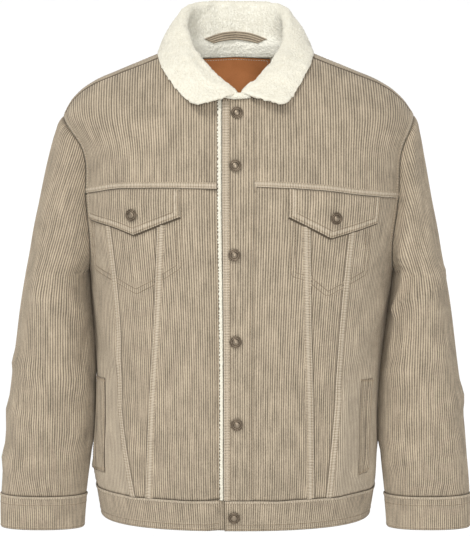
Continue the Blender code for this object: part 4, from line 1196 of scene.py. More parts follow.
def arithmetic(operation: str, reflected: bool = False) -> Callable[["Socket", "Socket | float"], "Socket"]:
    """Make a method of Socket that adds a Math node.

    Args:
        operation: What the node does.
        reflected: Whether the other value comes first.

    Returns:
        The method.
    """
    def method(self: "Socket", other: "Socket | float") -> "Socket":
        """Work out the two values together."""
        return self.shader.math(operation, *((other, self) if reflected else (self, other)))

    return method


class Socket:
    """A shader value that plain arithmetic works on."""

    def __init__(self, shader: "Shader", output: bpy.types.NodeSocket) -> None:
        """Keep the shader that the value belongs to."""
        self.shader = shader
        self.output = output

    __add__ = arithmetic("ADD")
    __radd__ = arithmetic("ADD", reflected=True)
    __sub__ = arithmetic("SUBTRACT")
    __rsub__ = arithmetic("SUBTRACT", reflected=True)
    __mul__ = arithmetic("MULTIPLY")
    __rmul__ = arithmetic("MULTIPLY", reflected=True)
    __truediv__ = arithmetic("DIVIDE")
    __pow__ = arithmetic("POWER")

    def __abs__(self) -> "Socket":
        """The size without its sign."""
        return self.shader.math("ABSOLUTE", self)

    def fraction(self) -> "Socket":
        """The part after the point."""
        return self.shader.math("FRACT", self)

    def held(self) -> "Socket":
        """The value kept between 0 and 1."""
        return self.shader.math("MAXIMUM", self.shader.math("MINIMUM", self, 1.0), 0.0)


class Shader:
    """The nodes of one material."""

    def __init__(self, name: str) -> None:
        """Start a material with a Principled shader."""
        self.material = bpy.data.materials.new(name)
        self.material.use_nodes = True
        self.tree = self.material.node_tree
        self.principled = self.tree.nodes["Principled BSDF"]

    def node(self, kind: str, settings: dict[str, object], **sockets: object) -> bpy.types.Node:
        """Add a node.

        Args:
            kind: Its type.
            settings: Its properties, set before its sockets.
            sockets: Values or links for its inputs, with _ in place of a space.

        Returns:
            The node.
        """
        node = self.tree.nodes.new(kind)
        for key, value in settings.items():
            setattr(node, key, value)
        for key, value in sockets.items():
            self.feed(node.inputs[key.replace("_", " ")], value)
        return node

    def feed(self, target: bpy.types.NodeSocket, value: object) -> None:
        """Link a value to an input, or set the input to it."""
        if isinstance(value, Socket):
            self.tree.links.new(value.output, target)
        else:
            target.default_value = value

    def math(self, operation: str, *values: "Socket | float") -> Socket:
        """Add a Math node.

        Args:
            operation: What it does.
            values: Its inputs in order.

        Returns:
            Its result.
        """
        node = self.tree.nodes.new("ShaderNodeMath")
        node.operation = operation
        for target, value in zip(node.inputs, values):
            self.feed(target, value)
        return Socket(self, node.outputs[0])

    def mix(self, first: object, second: object, factor: "Socket | float") -> Socket:
        """Blend two colours.

        Args:
            first: Colour where the factor is 0.
            second: Colour where the factor is 1.
            factor: How far to go from the first to the second.

        Returns:
            The blended colour.
        """
        node = self.tree.nodes.new("ShaderNodeMix")
        node.data_type = "RGBA"
        for index, value in ((0, factor), (6, first), (7, second)):
            self.feed(node.inputs[index], value)
        return Socket(self, node.outputs[2])

    def scale(self, colour: Socket, amount: "Socket | float") -> Socket:
        """Brighten or darken a colour.

        Args:
            colour: The colour.
            amount: What each of its channels is multiplied by.

        Returns:
            The changed colour.
        """
        node = self.node("ShaderNodeVectorMath", {"operation": "SCALE"})
        self.feed(node.inputs[0], colour)
        self.feed(node.inputs["Scale"], amount)
        return Socket(self, node.outputs[0])

    def noise(self, size: float, detail: float = 2.0, vector: Socket | None = None) -> Socket:
        """Add soft noise.

        Args:
            size: Typical width of a blotch, in metres.
            detail: How many finer layers are added.
            vector: Coordinates to read instead of the object's own.

        Returns:
            Values around one half.
        """
        place = vector or Socket(self, self.node("ShaderNodeTexCoord", {}).outputs["Object"])
        node = self.node("ShaderNodeTexNoise", {}, Vector=place, Scale=1 / size, Detail=detail)
        return Socket(self, node.outputs[0])

    def cloth_place(self) -> tuple[Socket, Socket]:
        """The two cloth coordinates, from the piece's own UV map."""
        place = Socket(self, self.node("ShaderNodeTexCoord", {}).outputs["UV"])
        split = self.node("ShaderNodeSeparateXYZ", {}, Vector=place)
        return Socket(self, split.outputs[0]), Socket(self, split.outputs[1])

    def attribute(self, name: str) -> Socket:
        """One of the piece's own values."""
        return Socket(self, self.node("ShaderNodeAttribute", {"attribute_name": name}).outputs["Fac"])

    def bump(self, height: Socket, distance: float, strength: float = 1.0) -> None:
        """Raise the surface by a height field."""
        node = self.node("ShaderNodeBump", {}, Height=height, Distance=distance, Strength=strength)
        self.tree.links.new(node.outputs[0], self.principled.inputs["Normal"])

    def settle(self, **sockets: object) -> bpy.types.Material:
        """Set the Principled shader's inputs and hand over the material."""
        for key, value in sockets.items():
            self.feed(self.principled.inputs[key.replace("_", " ")], value)
        return self.material


Colour = tuple[float, float, float, float]


@dataclass(frozen=True)
class Corduroy:
    """Worn corduroy: light cords, dark grooves partly painted as shade, brushed patches, pale worn seams,
    and painted highlight and shade along seams and rows.
    """

    # The groove colour is partly the cloth's own ground and partly painted shade. The worn colour is rubbed
    # wear and, on raised seam edges and puckers, painted highlight. The shaded colour is painted shade.
    cord: Colour = (0.474, 0.391, 0.286, 1.0)
    groove_and_shade: Colour = (0.118, 0.096, 0.069, 1.0)
    worn: Colour = (0.6, 0.515, 0.4, 1.0)
    shaded: Colour = (0.08, 0.062, 0.042, 1.0)

    def material(self) -> bpy.types.Material:
        """Build the material.

        Returns:
            The finished material.
        """
        shader = Shader("corduroy")
        across, up = shader.cloth_place()
        drawn = Socket(shader, shader.node("ShaderNodeCombineXYZ", {}, X=across, Y=up * 0.08).outputs[0])
        sway = (shader.noise(0.012) - 0.5) * 0.16
        phase = (across / WALE + sway).fraction()
        cord = 1.0 - abs(phase * 2.0 - 1.0) ** 1.25
        grain = shader.noise(0.0012, 2.0)
        breaks = shader.noise(0.0026, 2.0)
        streak = shader.noise(0.0036, 2.0, drawn)
        patch = shader.noise(0.024, 3.0)
        level_of_cord = cord + (grain - 0.5) * 0.45 + (breaks - 0.5) * 0.45 + (streak - 0.5) * 0.9
        # Painted shade: the grooves are coloured darker than their real relief shades them.
        colour = shader.mix(self.groove_and_shade, self.cord, level_of_cord.held())
        colour = shader.scale(colour, 0.72 + patch * 0.56)
        # Above 0: wear, with painted highlight on raised seam edges; below 0: painted shade.
        wear = shader.attribute("wear")
        pale = (wear * (0.55 + grain * 0.8) * (0.55 + cord * 0.6)).held()
        dark = (wear * -1.0).held()
        colour = shader.mix(colour, self.worn, pale)
        colour = shader.mix(colour, self.shaded, dark)
        shader.bump(cord * 0.55 + grain * 0.5, 0.0005)
        return shader.settle(
            Base_Color=colour, Roughness=0.92, Specular_IOR_Level=0.15,
            Sheen_Weight=0.1, Sheen_Roughness=0.45, Sheen_Tint=(0.95, 0.92, 0.86, 1.0))


@dataclass(frozen=True)
class Sherpa:
    """Curly cream pile with faint painted shadow between its curls, painted brighter on the stand and the
    inner hang of the collar.
    """

    curl: Colour = (0.752, 0.722, 0.612, 1.0)
    hollow: Colour = (0.59, 0.535, 0.415, 1.0)
    # A paler cream put on as painted light where the collar's stand and inner hang lie in shade.
    painted_light: Colour = (0.92, 0.895, 0.79, 1.0)

    def material(self) -> bpy.types.Material:
        """Build the material.

        Returns:
            The finished material.
        """
        shader = Shader("sherpa")
        place = Socket(shader, shader.node("ShaderNodeTexCoord", {}).outputs["Object"])
        cells = shader.node("ShaderNodeTexVoronoi", {"feature": "SMOOTH_F1"}, Vector=place, Scale=1 / 0.0022)
        curl = (1.0 - Socket(shader, cells.outputs["Distance"]) * 1.1).held()
        fluff = shader.noise(0.0009, 3.0)
        blotch = shader.noise(0.022, 2.0)
        deep = ((1.0 - curl) * 0.55 + (0.5 - blotch) * 0.5 + (0.5 - fluff) * 0.25).held()
        pale = shader.attribute("wear")
        colour = shader.mix(self.curl, self.hollow, (deep * 0.45 - pale * 0.6).held())
        # Painted light: a high value brightens the pile towards the painted light colour.
        colour = shader.mix(colour, self.painted_light, (pale * 1.4 - 0.6).held())
        shader.bump(curl + fluff * 0.5, 0.0009)
        return shader.settle(
            Base_Color=colour, Roughness=0.97, Specular_IOR_Level=0.08,
            Sheen_Weight=0.15, Sheen_Roughness=0.5)


@dataclass(frozen=True)
class Leather:
    """Plain tan leather with fine grain and soft rubbed patches."""

    face: Colour = (0.76, 0.292, 0.104, 1.0)
    deep: Colour = (0.56, 0.19, 0.062, 1.0)

    def material(self) -> bpy.types.Material:
        """Build the material.

        Returns:
            The finished material.
        """
        shader = Shader("leather")
        place = Socket(shader, shader.node("ShaderNodeTexCoord", {}).outputs["Object"])
        cells = shader.node(
            "ShaderNodeTexVoronoi", {"feature": "DISTANCE_TO_EDGE"}, Vector=place, Scale=1 / 0.0011)
        crack = (1.0 - Socket(shader, cells.outputs["Distance"]) * 6.0).held()
        patch = shader.noise(0.018, 3.0)
        colour = shader.mix(self.face, self.deep, (crack * 0.5 + (patch - 0.5) * 1.2).held())
        shader.bump(1.0 - crack, 0.00012)
        return shader.settle(Base_Color=colour, Roughness=0.52 + patch * 0.12, Specular_IOR_Level=0.4)


@dataclass(frozen=True)
class Metal:
    """Antique brass, dark in the hollows and rubbed bright on the rings."""

    bright: Colour = (0.34, 0.28, 0.208, 1.0)
    dull: Colour = (0.085, 0.062, 0.041, 1.0)

    def material(self) -> bpy.types.Material:
        """Build the material.

        Returns:
            The finished material.
        """
        shader = Shader("antique_brass")
        rub = shader.attribute("wear")
        tarnish = shader.noise(0.0024, 3.0)
        colour = shader.mix(self.dull, self.bright, (rub + (tarnish - 0.5) * 0.7).held())
        shader.bump(tarnish, 0.00008)
        return shader.settle(Base_Color=colour, Metallic=0.85, Roughness=0.34 + tarnish * 0.2)


@dataclass(frozen=True)
class Thread:
    """Spun thread with a fine twist."""

    name: str
    light: Colour
    dark: Colour

    def material(self) -> bpy.types.Material:
        """Build the material.

        Returns:
            The finished material.
        """
        shader = Shader(self.name)
        twist = shader.noise(0.0005, 1.0)
        colour = shader.mix(self.dark, self.light, twist)
        shader.bump(twist, 0.0001)
        return shader.settle(Base_Color=colour, Roughness=0.7, Sheen_Weight=0.1)


class Finish(Enum):
    """The finishes of the jacket, each with the recipe that builds it."""

    CORDUROY = Corduroy()
    SHERPA = Sherpa()
    LEATHER = Leather()
    METAL = Metal()
    SEAM_THREAD = Thread("seam_thread", (0.36, 0.27, 0.17, 1.0), (0.235, 0.17, 0.1, 1.0))
    WHITE_THREAD = Thread("white_thread", (0.85, 0.8, 0.7, 1.0), (0.64, 0.58, 0.48, 1.0))


@dataclass
class Wardrobe:
    """Keeps one material for each finish."""

    made: dict[Finish, bpy.types.Material] = field(default_factory=dict)

    def get(self, finish: Finish) -> bpy.types.Material:
        """The finish's material, built the first time it is asked for."""
        if finish not in self.made:
            self.made[finish] = finish.value.material()
        return self.made[finish]


def layered_form() -> bmesh.types.BMesh:
    """An empty form that carries a UV map and a value of wear, painted highlight and painted shade."""
    form = bmesh.new()
    form.loops.layers.uv.new("UVMap")
    form.verts.layers.float.new("wear")
    return form


def put_in_scene(name: str, data: bpy.types.ID) -> bpy.types.Object:
    """Make an object of a mesh, light or camera and put it in the scene."""
    made = bpy.data.objects.new(name, data)
    bpy.context.scene.collection.objects.link(made)
    return made


class Piece:
    """One finished piece, gathered from sheets, bands, stitches and turned parts."""

    def __init__(self, name: str, wardrobe: Wardrobe) -> None:
        """Start an empty piece.

        Args:
            name: Name of the finished object.
            wardrobe: Where its materials come from.
        """
        self.name = name
        self.wardrobe = wardrobe
        self.finishes: list[Finish] = []
        self.form = layered_form()
        self.flat = (0.0, 0.0)
        self.area = 0.0
        self.trim: Piece | None = None

    def seams(self) -> "Piece":
        """The companion piece that carries the seam bands and the stitches."""
        self.trim = self.trim or Piece(f"{self.name}_seams", self.wardrobe)
        return self.trim

    def index(self, finish: Finish) -> int:
        """The place of a finish in the piece's list of materials."""
        if finish not in self.finishes:
            self.finishes.append(finish)
        return self.finishes.index(finish)

    def measure(self, points: Array) -> None:
        """Take the piece's flat size from the plain form that it is laid on.

        Args:
            points: The form, rows by columns.
        """
        run = points[:-1, 1:] - points[:-1, :-1]
        climb = points[1:, :-1] - points[:-1, :-1]
        steps = np.linalg.norm(climb, axis=-1)
        cells = np.linalg.norm(np.cross(run, climb), axis=-1)
        width = (cells / np.maximum(steps, 1e-6)).sum(axis=1).max()
        self.flat = (max(float(width), SMALLEST_CUT), float(steps.sum(axis=0).max()))
        self.area = float(cells.sum())

    def add_sheet(
            self, points: Array, place: tuple[Array, Array], wear: Array | float,
            finish: Finish, inward: Array | None = None, flip: bool = False) -> None:
        """Add a sheet of cloth.

        Args:
            points: Its points, rows by columns, with the outside to the left of each row's end.
            place: Its cloth coordinates.
            wear: Wear and painted highlight above 0, painted shade below 0, at each point.
            finish: Its finish.
            inward: How far and which way its edges turn in, at each point.
            flip: Whether its rows run the other way, with the outside to the right.
        """
        values = [np.broadcast_to(value, points.shape[:2]) for value in (*place, wear)]
        if flip:
            points, *values = (value[:, ::-1] for value in (points, *values))
            inward = None if inward is None else inward[:, ::-1]
        if inward is not None:
            values = [np.pad(value, 1, mode="edge") for value in values]
            turned = np.pad(points + inward, ((1, 1), (1, 1), (0, 0)), mode="edge")
            turned[1:-1, 1:-1] = points
            points = turned
        rows, columns = points.shape[:2]
        form = layered_form()
        bmesh.ops.create_grid(form, x_segments=columns - 1, y_segments=rows - 1, size=1.0)
        mesh = bpy.data.meshes.new("sheet")
        form.to_mesh(mesh)
        corner = np.empty(len(mesh.loops), dtype=np.int32)
        mesh.loops.foreach_get("vertex_index", corner)
        uv = np.stack([value.reshape(-1) for value in values[:2]], axis=-1)[corner]
        mesh.vertices.foreach_set("co", points.reshape(-1).astype(np.float32))
        mesh.uv_layers["UVMap"].uv.foreach_set("vector", uv.reshape(-1).astype(np.float32))
        mesh.attributes["wear"].data.foreach_set("value", values[2].reshape(-1).astype(np.float32))
        form.clear()
        form.from_mesh(mesh)
        bmesh.ops.remove_doubles(form, verts=form.verts[:], dist=0.00002)
        self.take(form, mesh, finish)

    def take(self, form: bmesh.types.BMesh, mesh: bpy.types.Mesh, finish: Finish) -> None:
        """Add a form's faces to the piece in one finish.

        Args:
            form: The form, which is freed.
            mesh: A mesh that carries it over, which is removed.
            finish: Its finish.
        """
        form.to_mesh(mesh)
        form.free()
        mesh.polygons.foreach_set("material_index", np.full(len(mesh.polygons), self.index(finish)))
        mesh.polygons.foreach_set("use_smooth", np.ones(len(mesh.polygons), dtype=bool))
        self.form.from_mesh(mesh)
        bpy.data.meshes.remove(mesh)

    def add_stitches(
            self, cloth: Cloth, path: Path2, lift: Array | float = 0.0,
            finish: Finish = Finish.SEAM_THREAD, seed: int = 1, radius: float = STITCH_RADIUS) -> None:
        """Sew a row of stitches along a line of the cloth.

        Args:
            cloth: The surface that is sewn.
            path: The line in cloth coordinates.
            lift: Height of the row above the surface.
            finish: The thread's finish.
            seed: Number that fixes the small unevenness.
            radius: Half the thread's thickness.
        """
        points = cloth.points(*path, lift)
        facing = cloth.normal(*path)
        length = run_length(points)
        count = max(1, int(length[-1] / STITCH_PITCH))
        middle = (np.arange(count) + 0.5) * length[-1] / count

        def read(values: Array, where: Array) -> Array:
            return np.stack([np.interp(where, length, values[:, axis]) for axis in range(3)], axis=-1)

        start = read(points, middle - STITCH_LENGTH / 2)
        end = read(points, middle + STITCH_LENGTH / 2)
        draw = np.random.default_rng(seed)
        along = (end - start) / 2
        outward = unit(read(facing, middle))
        aside = unit(np.cross(along, outward))
        centre = (start + end) / 2 + aside * draw.normal(0, THREAD_SWAY, size=(count, 1))
        seed_form = bmesh.new()
        bmesh.ops.create_icosphere(seed_form, subdivisions=1, radius=1.0)
        shape = np.array([vert.co[:] for vert in seed_form.verts])
        mesh = bpy.data.meshes.new("stitch")
        seed_form.to_mesh(mesh)
        seed_form.free()
        form = layered_form()
        for _ in range(count):
            form.from_mesh(mesh)
        form.to_mesh(mesh)
        placed = (
            centre[:, None] + along[:, None] * shape[:, :1]
            + (aside[:, None] * shape[:, 1:2] + outward[:, None] * shape[:, 2:]) * radius)
        mesh.vertices.foreach_set("co", placed.reshape(-1).astype(np.float32))
        form.clear()
        form.from_mesh(mesh)
        self.seams().take(form, mesh, finish)

    def add_row(
            self, cloth: Cloth, path: Path2, lift: Array | float = 0.0, seed: int = 1,
            depth: float = 0.4) -> None:
        """Press a row into the cords and stitch it.

        Args:
            cloth: The surface that is sewn.
            path: The line in cloth coordinates.
            lift: Height of the cloth below the row.
            seed: Number that fixes the small unevenness.
            depth: How dark the painted shade of the pressed line is.
        """
        shoulder, shoulder_place, shoulder_spread, row_spread = ROW_WEAR_AND_LIGHT
        # Pale shoulders beside the row are wear with painted highlight; the dark line along the row is
        # painted shade.
        profile = [
            (aside, rise, shoulder * math.exp(-((abs(aside) - shoulder_place) / shoulder_spread) ** 2)
             - depth * math.exp(-(aside / row_spread) ** 2))
            for aside, rise in ROW_PROFILE]
        self.add_ribbon(cloth, path, profile, lift)
        self.add_stitches(cloth, path, np.asarray(lift) + ROW_HEIGHT, seed=seed)

    def add_ribbon(
            self, cloth: Cloth, path: Path2, profile: Iterable[tuple[float, float, float]],
            lift: Array | float = 0.0) -> None:
        """Lay a narrow strip of cloth along a line.

        Args:
            cloth: The surface that it lies on.
            path: The line in cloth coordinates.
            profile: Millimetres aside of the line and above the cloth, and the wear, painted highlight and
                painted shade there.
            lift: Height of the cloth below it.
        """
        offsets, heights, wear = np.array(list(profile)).T
        offsets, heights = offsets * 0.001, heights * 0.001
        across, up = path
        run = heading(path)
        side_across = across[:, None] + run[:, 1:] * offsets
        side_up = up[:, None] - run[:, :1] * offsets
        base = np.broadcast_to(lift, across.shape)[:, None] + heights
        sheet = cloth.points(side_across, side_up, base)
        self.seams().add_sheet(sheet, (side_across, side_up), wear + 0 * base, Finish.CORDUROY)

    def add_band(
            self, cloth: Cloth, path: Path2, width: float, lift: float = 0.0,
            rows: tuple[float, ...] = (0.24, 0.84), height: float = 1.0, seed: int = 3) -> None:
        """Lay a puckered, felled seam band beside a seam, with its rows of stitches.

        Args:
            cloth: The surface that it lies on.
            path: The seam in cloth coordinates.
            width: The band's width, above 0 to the left of the path and below 0 to its right.
            lift: Height of the cloth below it.
            rows: Where its rows of stitches lie, as shares of its width.
            height: How thick it is, as a share of the usual thickness.
            seed: Number that fixes the puckers.
        """
        across, up = path
        run = heading(path)
        sign = 1 if width > 0 else -1
        profile = np.array(BAND_PROFILE)
        shares, heights = profile[:, 0], profile[:, 1] * 0.001 * height
        offset = shares * abs(width)
        band_across = across[:, None] - sign * run[:, 1:] * offset
        band_up = up[:, None] + sign * run[:, :1] * offset
        length = run_length(cloth.points(across, up))
        ripple = self.ripple(length, seed)[:, None]
        middle = np.sin(math.pi * np.clip(shares, 0, 1)) ** 0.6
        level_run = np.abs(run[:, :1]) ** 2
        cords = WALE_DEPTH * wale_rise(band_across) * level_run * middle
        rise = lift + WALE_DEPTH * BAND_BASE + heights + PUCKER_RISE * ripple * middle + cords
        # The band is pale with wear; pucker crests and raised ridges get painted highlight, troughs and
        # pressed rows painted shade.
        wear = 0.34 + 0.22 * ripple * middle
        for place, spread, amount in BAND_WEAR_AND_LIGHT:
            wear = wear + amount * np.exp(-((shares - place) / spread) ** 2)
        sheet = cloth.points(band_across, band_up, rise)
        ribs = BAND_RIBS * length[:, None] + 0 * offset
        self.seams().add_sheet(
            sheet, (ribs, offset + 0 * ribs), wear, Finish.CORDUROY, flip=sign > 0)
        for number, share in enumerate(rows):
            place = (
                across - sign * run[:, 1] * share * abs(width), up + sign * run[:, 0] * share * abs(width))
            thickness = 0.001 * height * np.interp(share, profile[:, 0], profile[:, 1])
            top = lift + WALE_DEPTH * BAND_BASE + thickness
            self.add_stitches(cloth, place, top + BAND_STITCH_LIFT, seed=seed + number)

    @staticmethod
    def ripple(length: Array, seed: int) -> Array:
        """Work out the puckers along a seam, uneven in length and depth.

        Args:
            length: Places along the seam.
            seed: Number that fixes the puckers.

        Returns:
            Heights, mostly between -1 and 1.
        """
        draw = np.random.default_rng(seed)
        start = draw.uniform(0, 2 * math.pi, size=4)
        sway = 1.3 * np.sin(length / 0.0071 + start[0]) + 1.9 * np.sin(length / 0.0193 + start[1])
        strength = 0.75 + 0.35 * np.sin(length / 0.0113 + start[2])
        return strength * np.sin(2 * math.pi * length / PUCKER_PITCH + sway + start[3])

    def finish(
            self, nodes: tuple[str, ...], slot: Slot, rests_on: tuple[str, ...] = (),
            held: str = "hung", is_sheet: bool = True, layers: float = 1.0) -> bpy.types.Object:
        """Make the object, and the object of its seams if it is a sheet.

        Args:
            nodes: The CAD nodes that it replaces.
            slot: The record's material slot.
            rests_on: What it hangs from; not used.
            held: How the cloth is held; not used.
            is_sheet: Whether it is a sheet of cloth.
            layers: How many layers one cut makes, folded side by side; not used.

        Returns:
            The finished object.
        """
        piece = self.make(nodes, slot)
        if is_sheet:
            carried = [self.trim.make((), slot)] if self.trim else []
        return piece

    def make(self, nodes: tuple[str, ...], slot: Slot) -> bpy.types.Object:
        """Make the object of this piece alone.

        Args:
            nodes: The CAD nodes that it replaces.
            slot: The record's material slot; not used.

        Returns:
            The object.
        """
        mesh = bpy.data.meshes.new(self.name)
        self.form.to_mesh(mesh)
        self.form.free()
        mesh.set_sharp_from_angle(angle=math.radians(62))
        for finish in self.finishes:
            mesh.materials.append(self.wardrobe.get(finish))
        piece = put_in_scene(self.name, mesh)
        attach(piece, "root")
        if nodes:
            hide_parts(*nodes)
        LOG.info("%s: %d faces", self.name, len(mesh.polygons))
        return piece


# The painted shadow under a flap's lower edge, a dark strip: millimetres outside its lower edge, height and
# how dark it is painted.
FLAP_PAINTED_SHADOW = ((-1.5, 1.4, -1.0), (0.6, 1.4, -1.0), (1.8, 1.2, -0.95), (2.8, 0.3, -0.5))

# The shoulder lap: shares of its width, then millimetres past its edge, with height and wear; the dark rows
# past its edge are painted shadow.
LAP_PROFILE = (
    (0.0, 0.3, 0.0), (0.2, 0.9, 0.1), (0.4, 1.0, 0.1), (0.6, 1.0, 0.1), (0.76, 1.0, 0.15),
    (0.88, 1.0, 0.3), (-1.8, 0.95, 0.1), (-0.5, 0.95, 0.25), (0.1, 0.75, -0.9), (1.4, 0.55, -1.0),
    (2.8, 0.1, -0.7),
)

LAP_PAST = 5

# A pressed row of stitches: distances from the stitches and heights, in millimetres.
ROW_PROFILE = ((-1.9, -0.05), (-1.3, 0.52), (-0.6, 0.46), (0.0, 0.4), (0.6, 0.46), (1.3, 0.52), (1.9, -0.05))
ROW_HEIGHT = 0.00058

# The pale shoulders of such a row, wear with painted highlight: how pale, how far aside in millimetres and
# how wide, then the width of the row's painted shade.
ROW_WEAR_AND_LIGHT = (0.28, 1.4, 0.5, 0.7)

# Pale ridges (wear with painted highlight) and pressed rows (painted shade) of a felled band: shares of its
# width, spreads and amounts of wear and painted light.
BAND_WEAR_AND_LIGHT = ((0.06, 0.07, 0.45), (0.54, 0.14, 0.3), (0.24, 0.06, -0.35), (0.84, 0.06, -0.35))
BAND_RIBS = 1.5

# Height of a felled band across its width, in millimetres: an edge, two pressed rows and a foot.
BAND_PROFILE = (
    (0.0, -0.5), (0.02, 0.55), (0.08, 0.9), (0.16, 0.85), (0.24, 0.5),
    (0.34, 0.85), (0.5, 1.0), (0.66, 0.9), (0.76, 0.7), (0.84, 0.35), (0.92, 0.35), (1.0, -0.4),
)


@dataclass
class Panel:
    """One cut piece of corduroy with its sherpa face, between four edges in cloth coordinates."""

    name: str
    cloth: Cloth
    left: Edge
    right: Edge
    bottom: Edge
    top: Edge
    low: float
    high: float
    lift: Lift = raised(0.0)
    wall: float = WALL
    lining: float = LINING_STEP
    step: float = ROW_STEP
    shade: Callable[[Array, Array], tuple[Array, Array]] | None = None

    def sides(self, share: Array) -> tuple[Array, Array]:
        """Find both side edges at each row.

        Args:
            share: The rows as shares of the height.

        Returns:
            Places across the cloth of the left and of the right edge.
        """
        found = []
        for edge in (self.left, self.right):
            up = self.low + share * (self.high - self.low)
            for _ in range(4):
                across = edge(up)
                up = self.bottom(across) + share * (self.top(across) - self.bottom(across))
            found.append(across)
        return found[0], found[1]

    def build(self, piece: Piece) -> None:
        """Add the panel's outer shell and its sherpa face to a piece.

        Args:
            piece: The piece to add to.
        """
        share = row_shares(self.high - self.low, self.step)
        left, right = self.sides(share)
        across = np.clip(wale_columns(left.min(), right.max()), left[:, None], right[:, None])
        low, high = self.bottom(across), self.top(across)
        up = low + share[:, None] * (high - low)
        edges = (across - left[:, None], right[:, None] - across, up - low, high - up)
        edge = np.minimum.reduce(edges)
        valley = np.exp(-(edge / VALLEY_WIDTH) ** 2)
        rise = WALE_DEPTH * wale_rise(across) * (1 - valley) - VALLEY_DEPTH * valley
        # Painted shade: the cloth is darkened in the valley along each edge.
        wear = -VALLEY_SHADE * valley
        if self.shade:
            more_rise, more_wear = self.shade(across, up)
            rise = rise + more_rise
            wear = wear + more_wear
        lift = self.lift(across, up)
        piece.measure(self.cloth.points(across[::3, ::6], up[::3, ::6]))
        piece.add_sheet(
            self.cloth.points(across, up, lift + rise), (across, up), wear, Finish.CORDUROY,
            self.cloth.normal(across, up) * (EDGE_TURN - self.wall))
        if self.lining:
            self.build_lining(piece.wardrobe)

    def build_lining(self, wardrobe: Wardrobe) -> None:
        """Build the sherpa face on the inside of the panel, as a piece of its own.

        Args:
            wardrobe: Where its material comes from.
        """
        share = np.linspace(0, 1, max(2, round((self.high - self.low) / self.lining)) + 1)
        left, right = self.sides(share)
        columns = np.linspace(0, 1, max(2, round((right - left).max() / self.lining)) + 1)
        across = left[:, None] * (1 - columns) + right[:, None] * columns
        low, high = self.bottom(across), self.top(across)
        up = low + share[:, None] * (high - low)
        base = self.lift(across, up) - self.wall
        points = self.cloth.points(across, up, base)
        pile = pile_rise(points, PILE_SIZE * LINING_CURL)
        inner = self.cloth.points(across, up, base + LINING_LIFT - LINING_PILE * pile)
        piece = Piece(self.name.replace("_cloth", "_lining"), wardrobe)
        piece.measure(points)
        piece.add_sheet(inner, (across, up), 0.0, Finish.SHERPA, flip=True)
        piece.finish((), Slot.SHERPA, (self.name,))


def along_up(edge: Edge, low: float, high: float, step: float = 0.0012) -> Path2:
    """A path up the cloth beside a side edge."""
    up = spaced(low, high, step)
    return edge(up), up


def along_across(edge: Edge, start: float, end: float) -> Path2:
    """A path across the cloth beside an end edge, with its steps on the cords."""
    across = wale_columns(min(start, end), max(start, end))
    across = across if start < end else across[::-1]
    return across, edge(across)


def resampled(corners: Iterable[tuple[float, float]], step: float = 0.0015) -> Path2:
    """Turn corners into a path of even steps.

    Args:
        corners: The corners in cloth coordinates.
        step: Spacing of the places.

    Returns:
        The places across and up.
    """
    places = np.array(list(corners))
    length = np.concatenate(([0], np.cumsum(np.hypot(*np.diff(places, axis=0).T))))
    where = spaced(0, float(length[-1]), step)
    return np.interp(where, length, places[:, 0]), np.interp(where, length, places[:, 1])


def moved_aside(path: Path2, distance: float) -> Path2:
    """Move a path sideways.

    Args:
        path: The path.
        distance: How far, above 0 to its left.

    Returns:
        The moved path.
    """
    across, up = path
    run = heading(path)
    return across - run[:, 1] * distance, up + run[:, 0] * distance


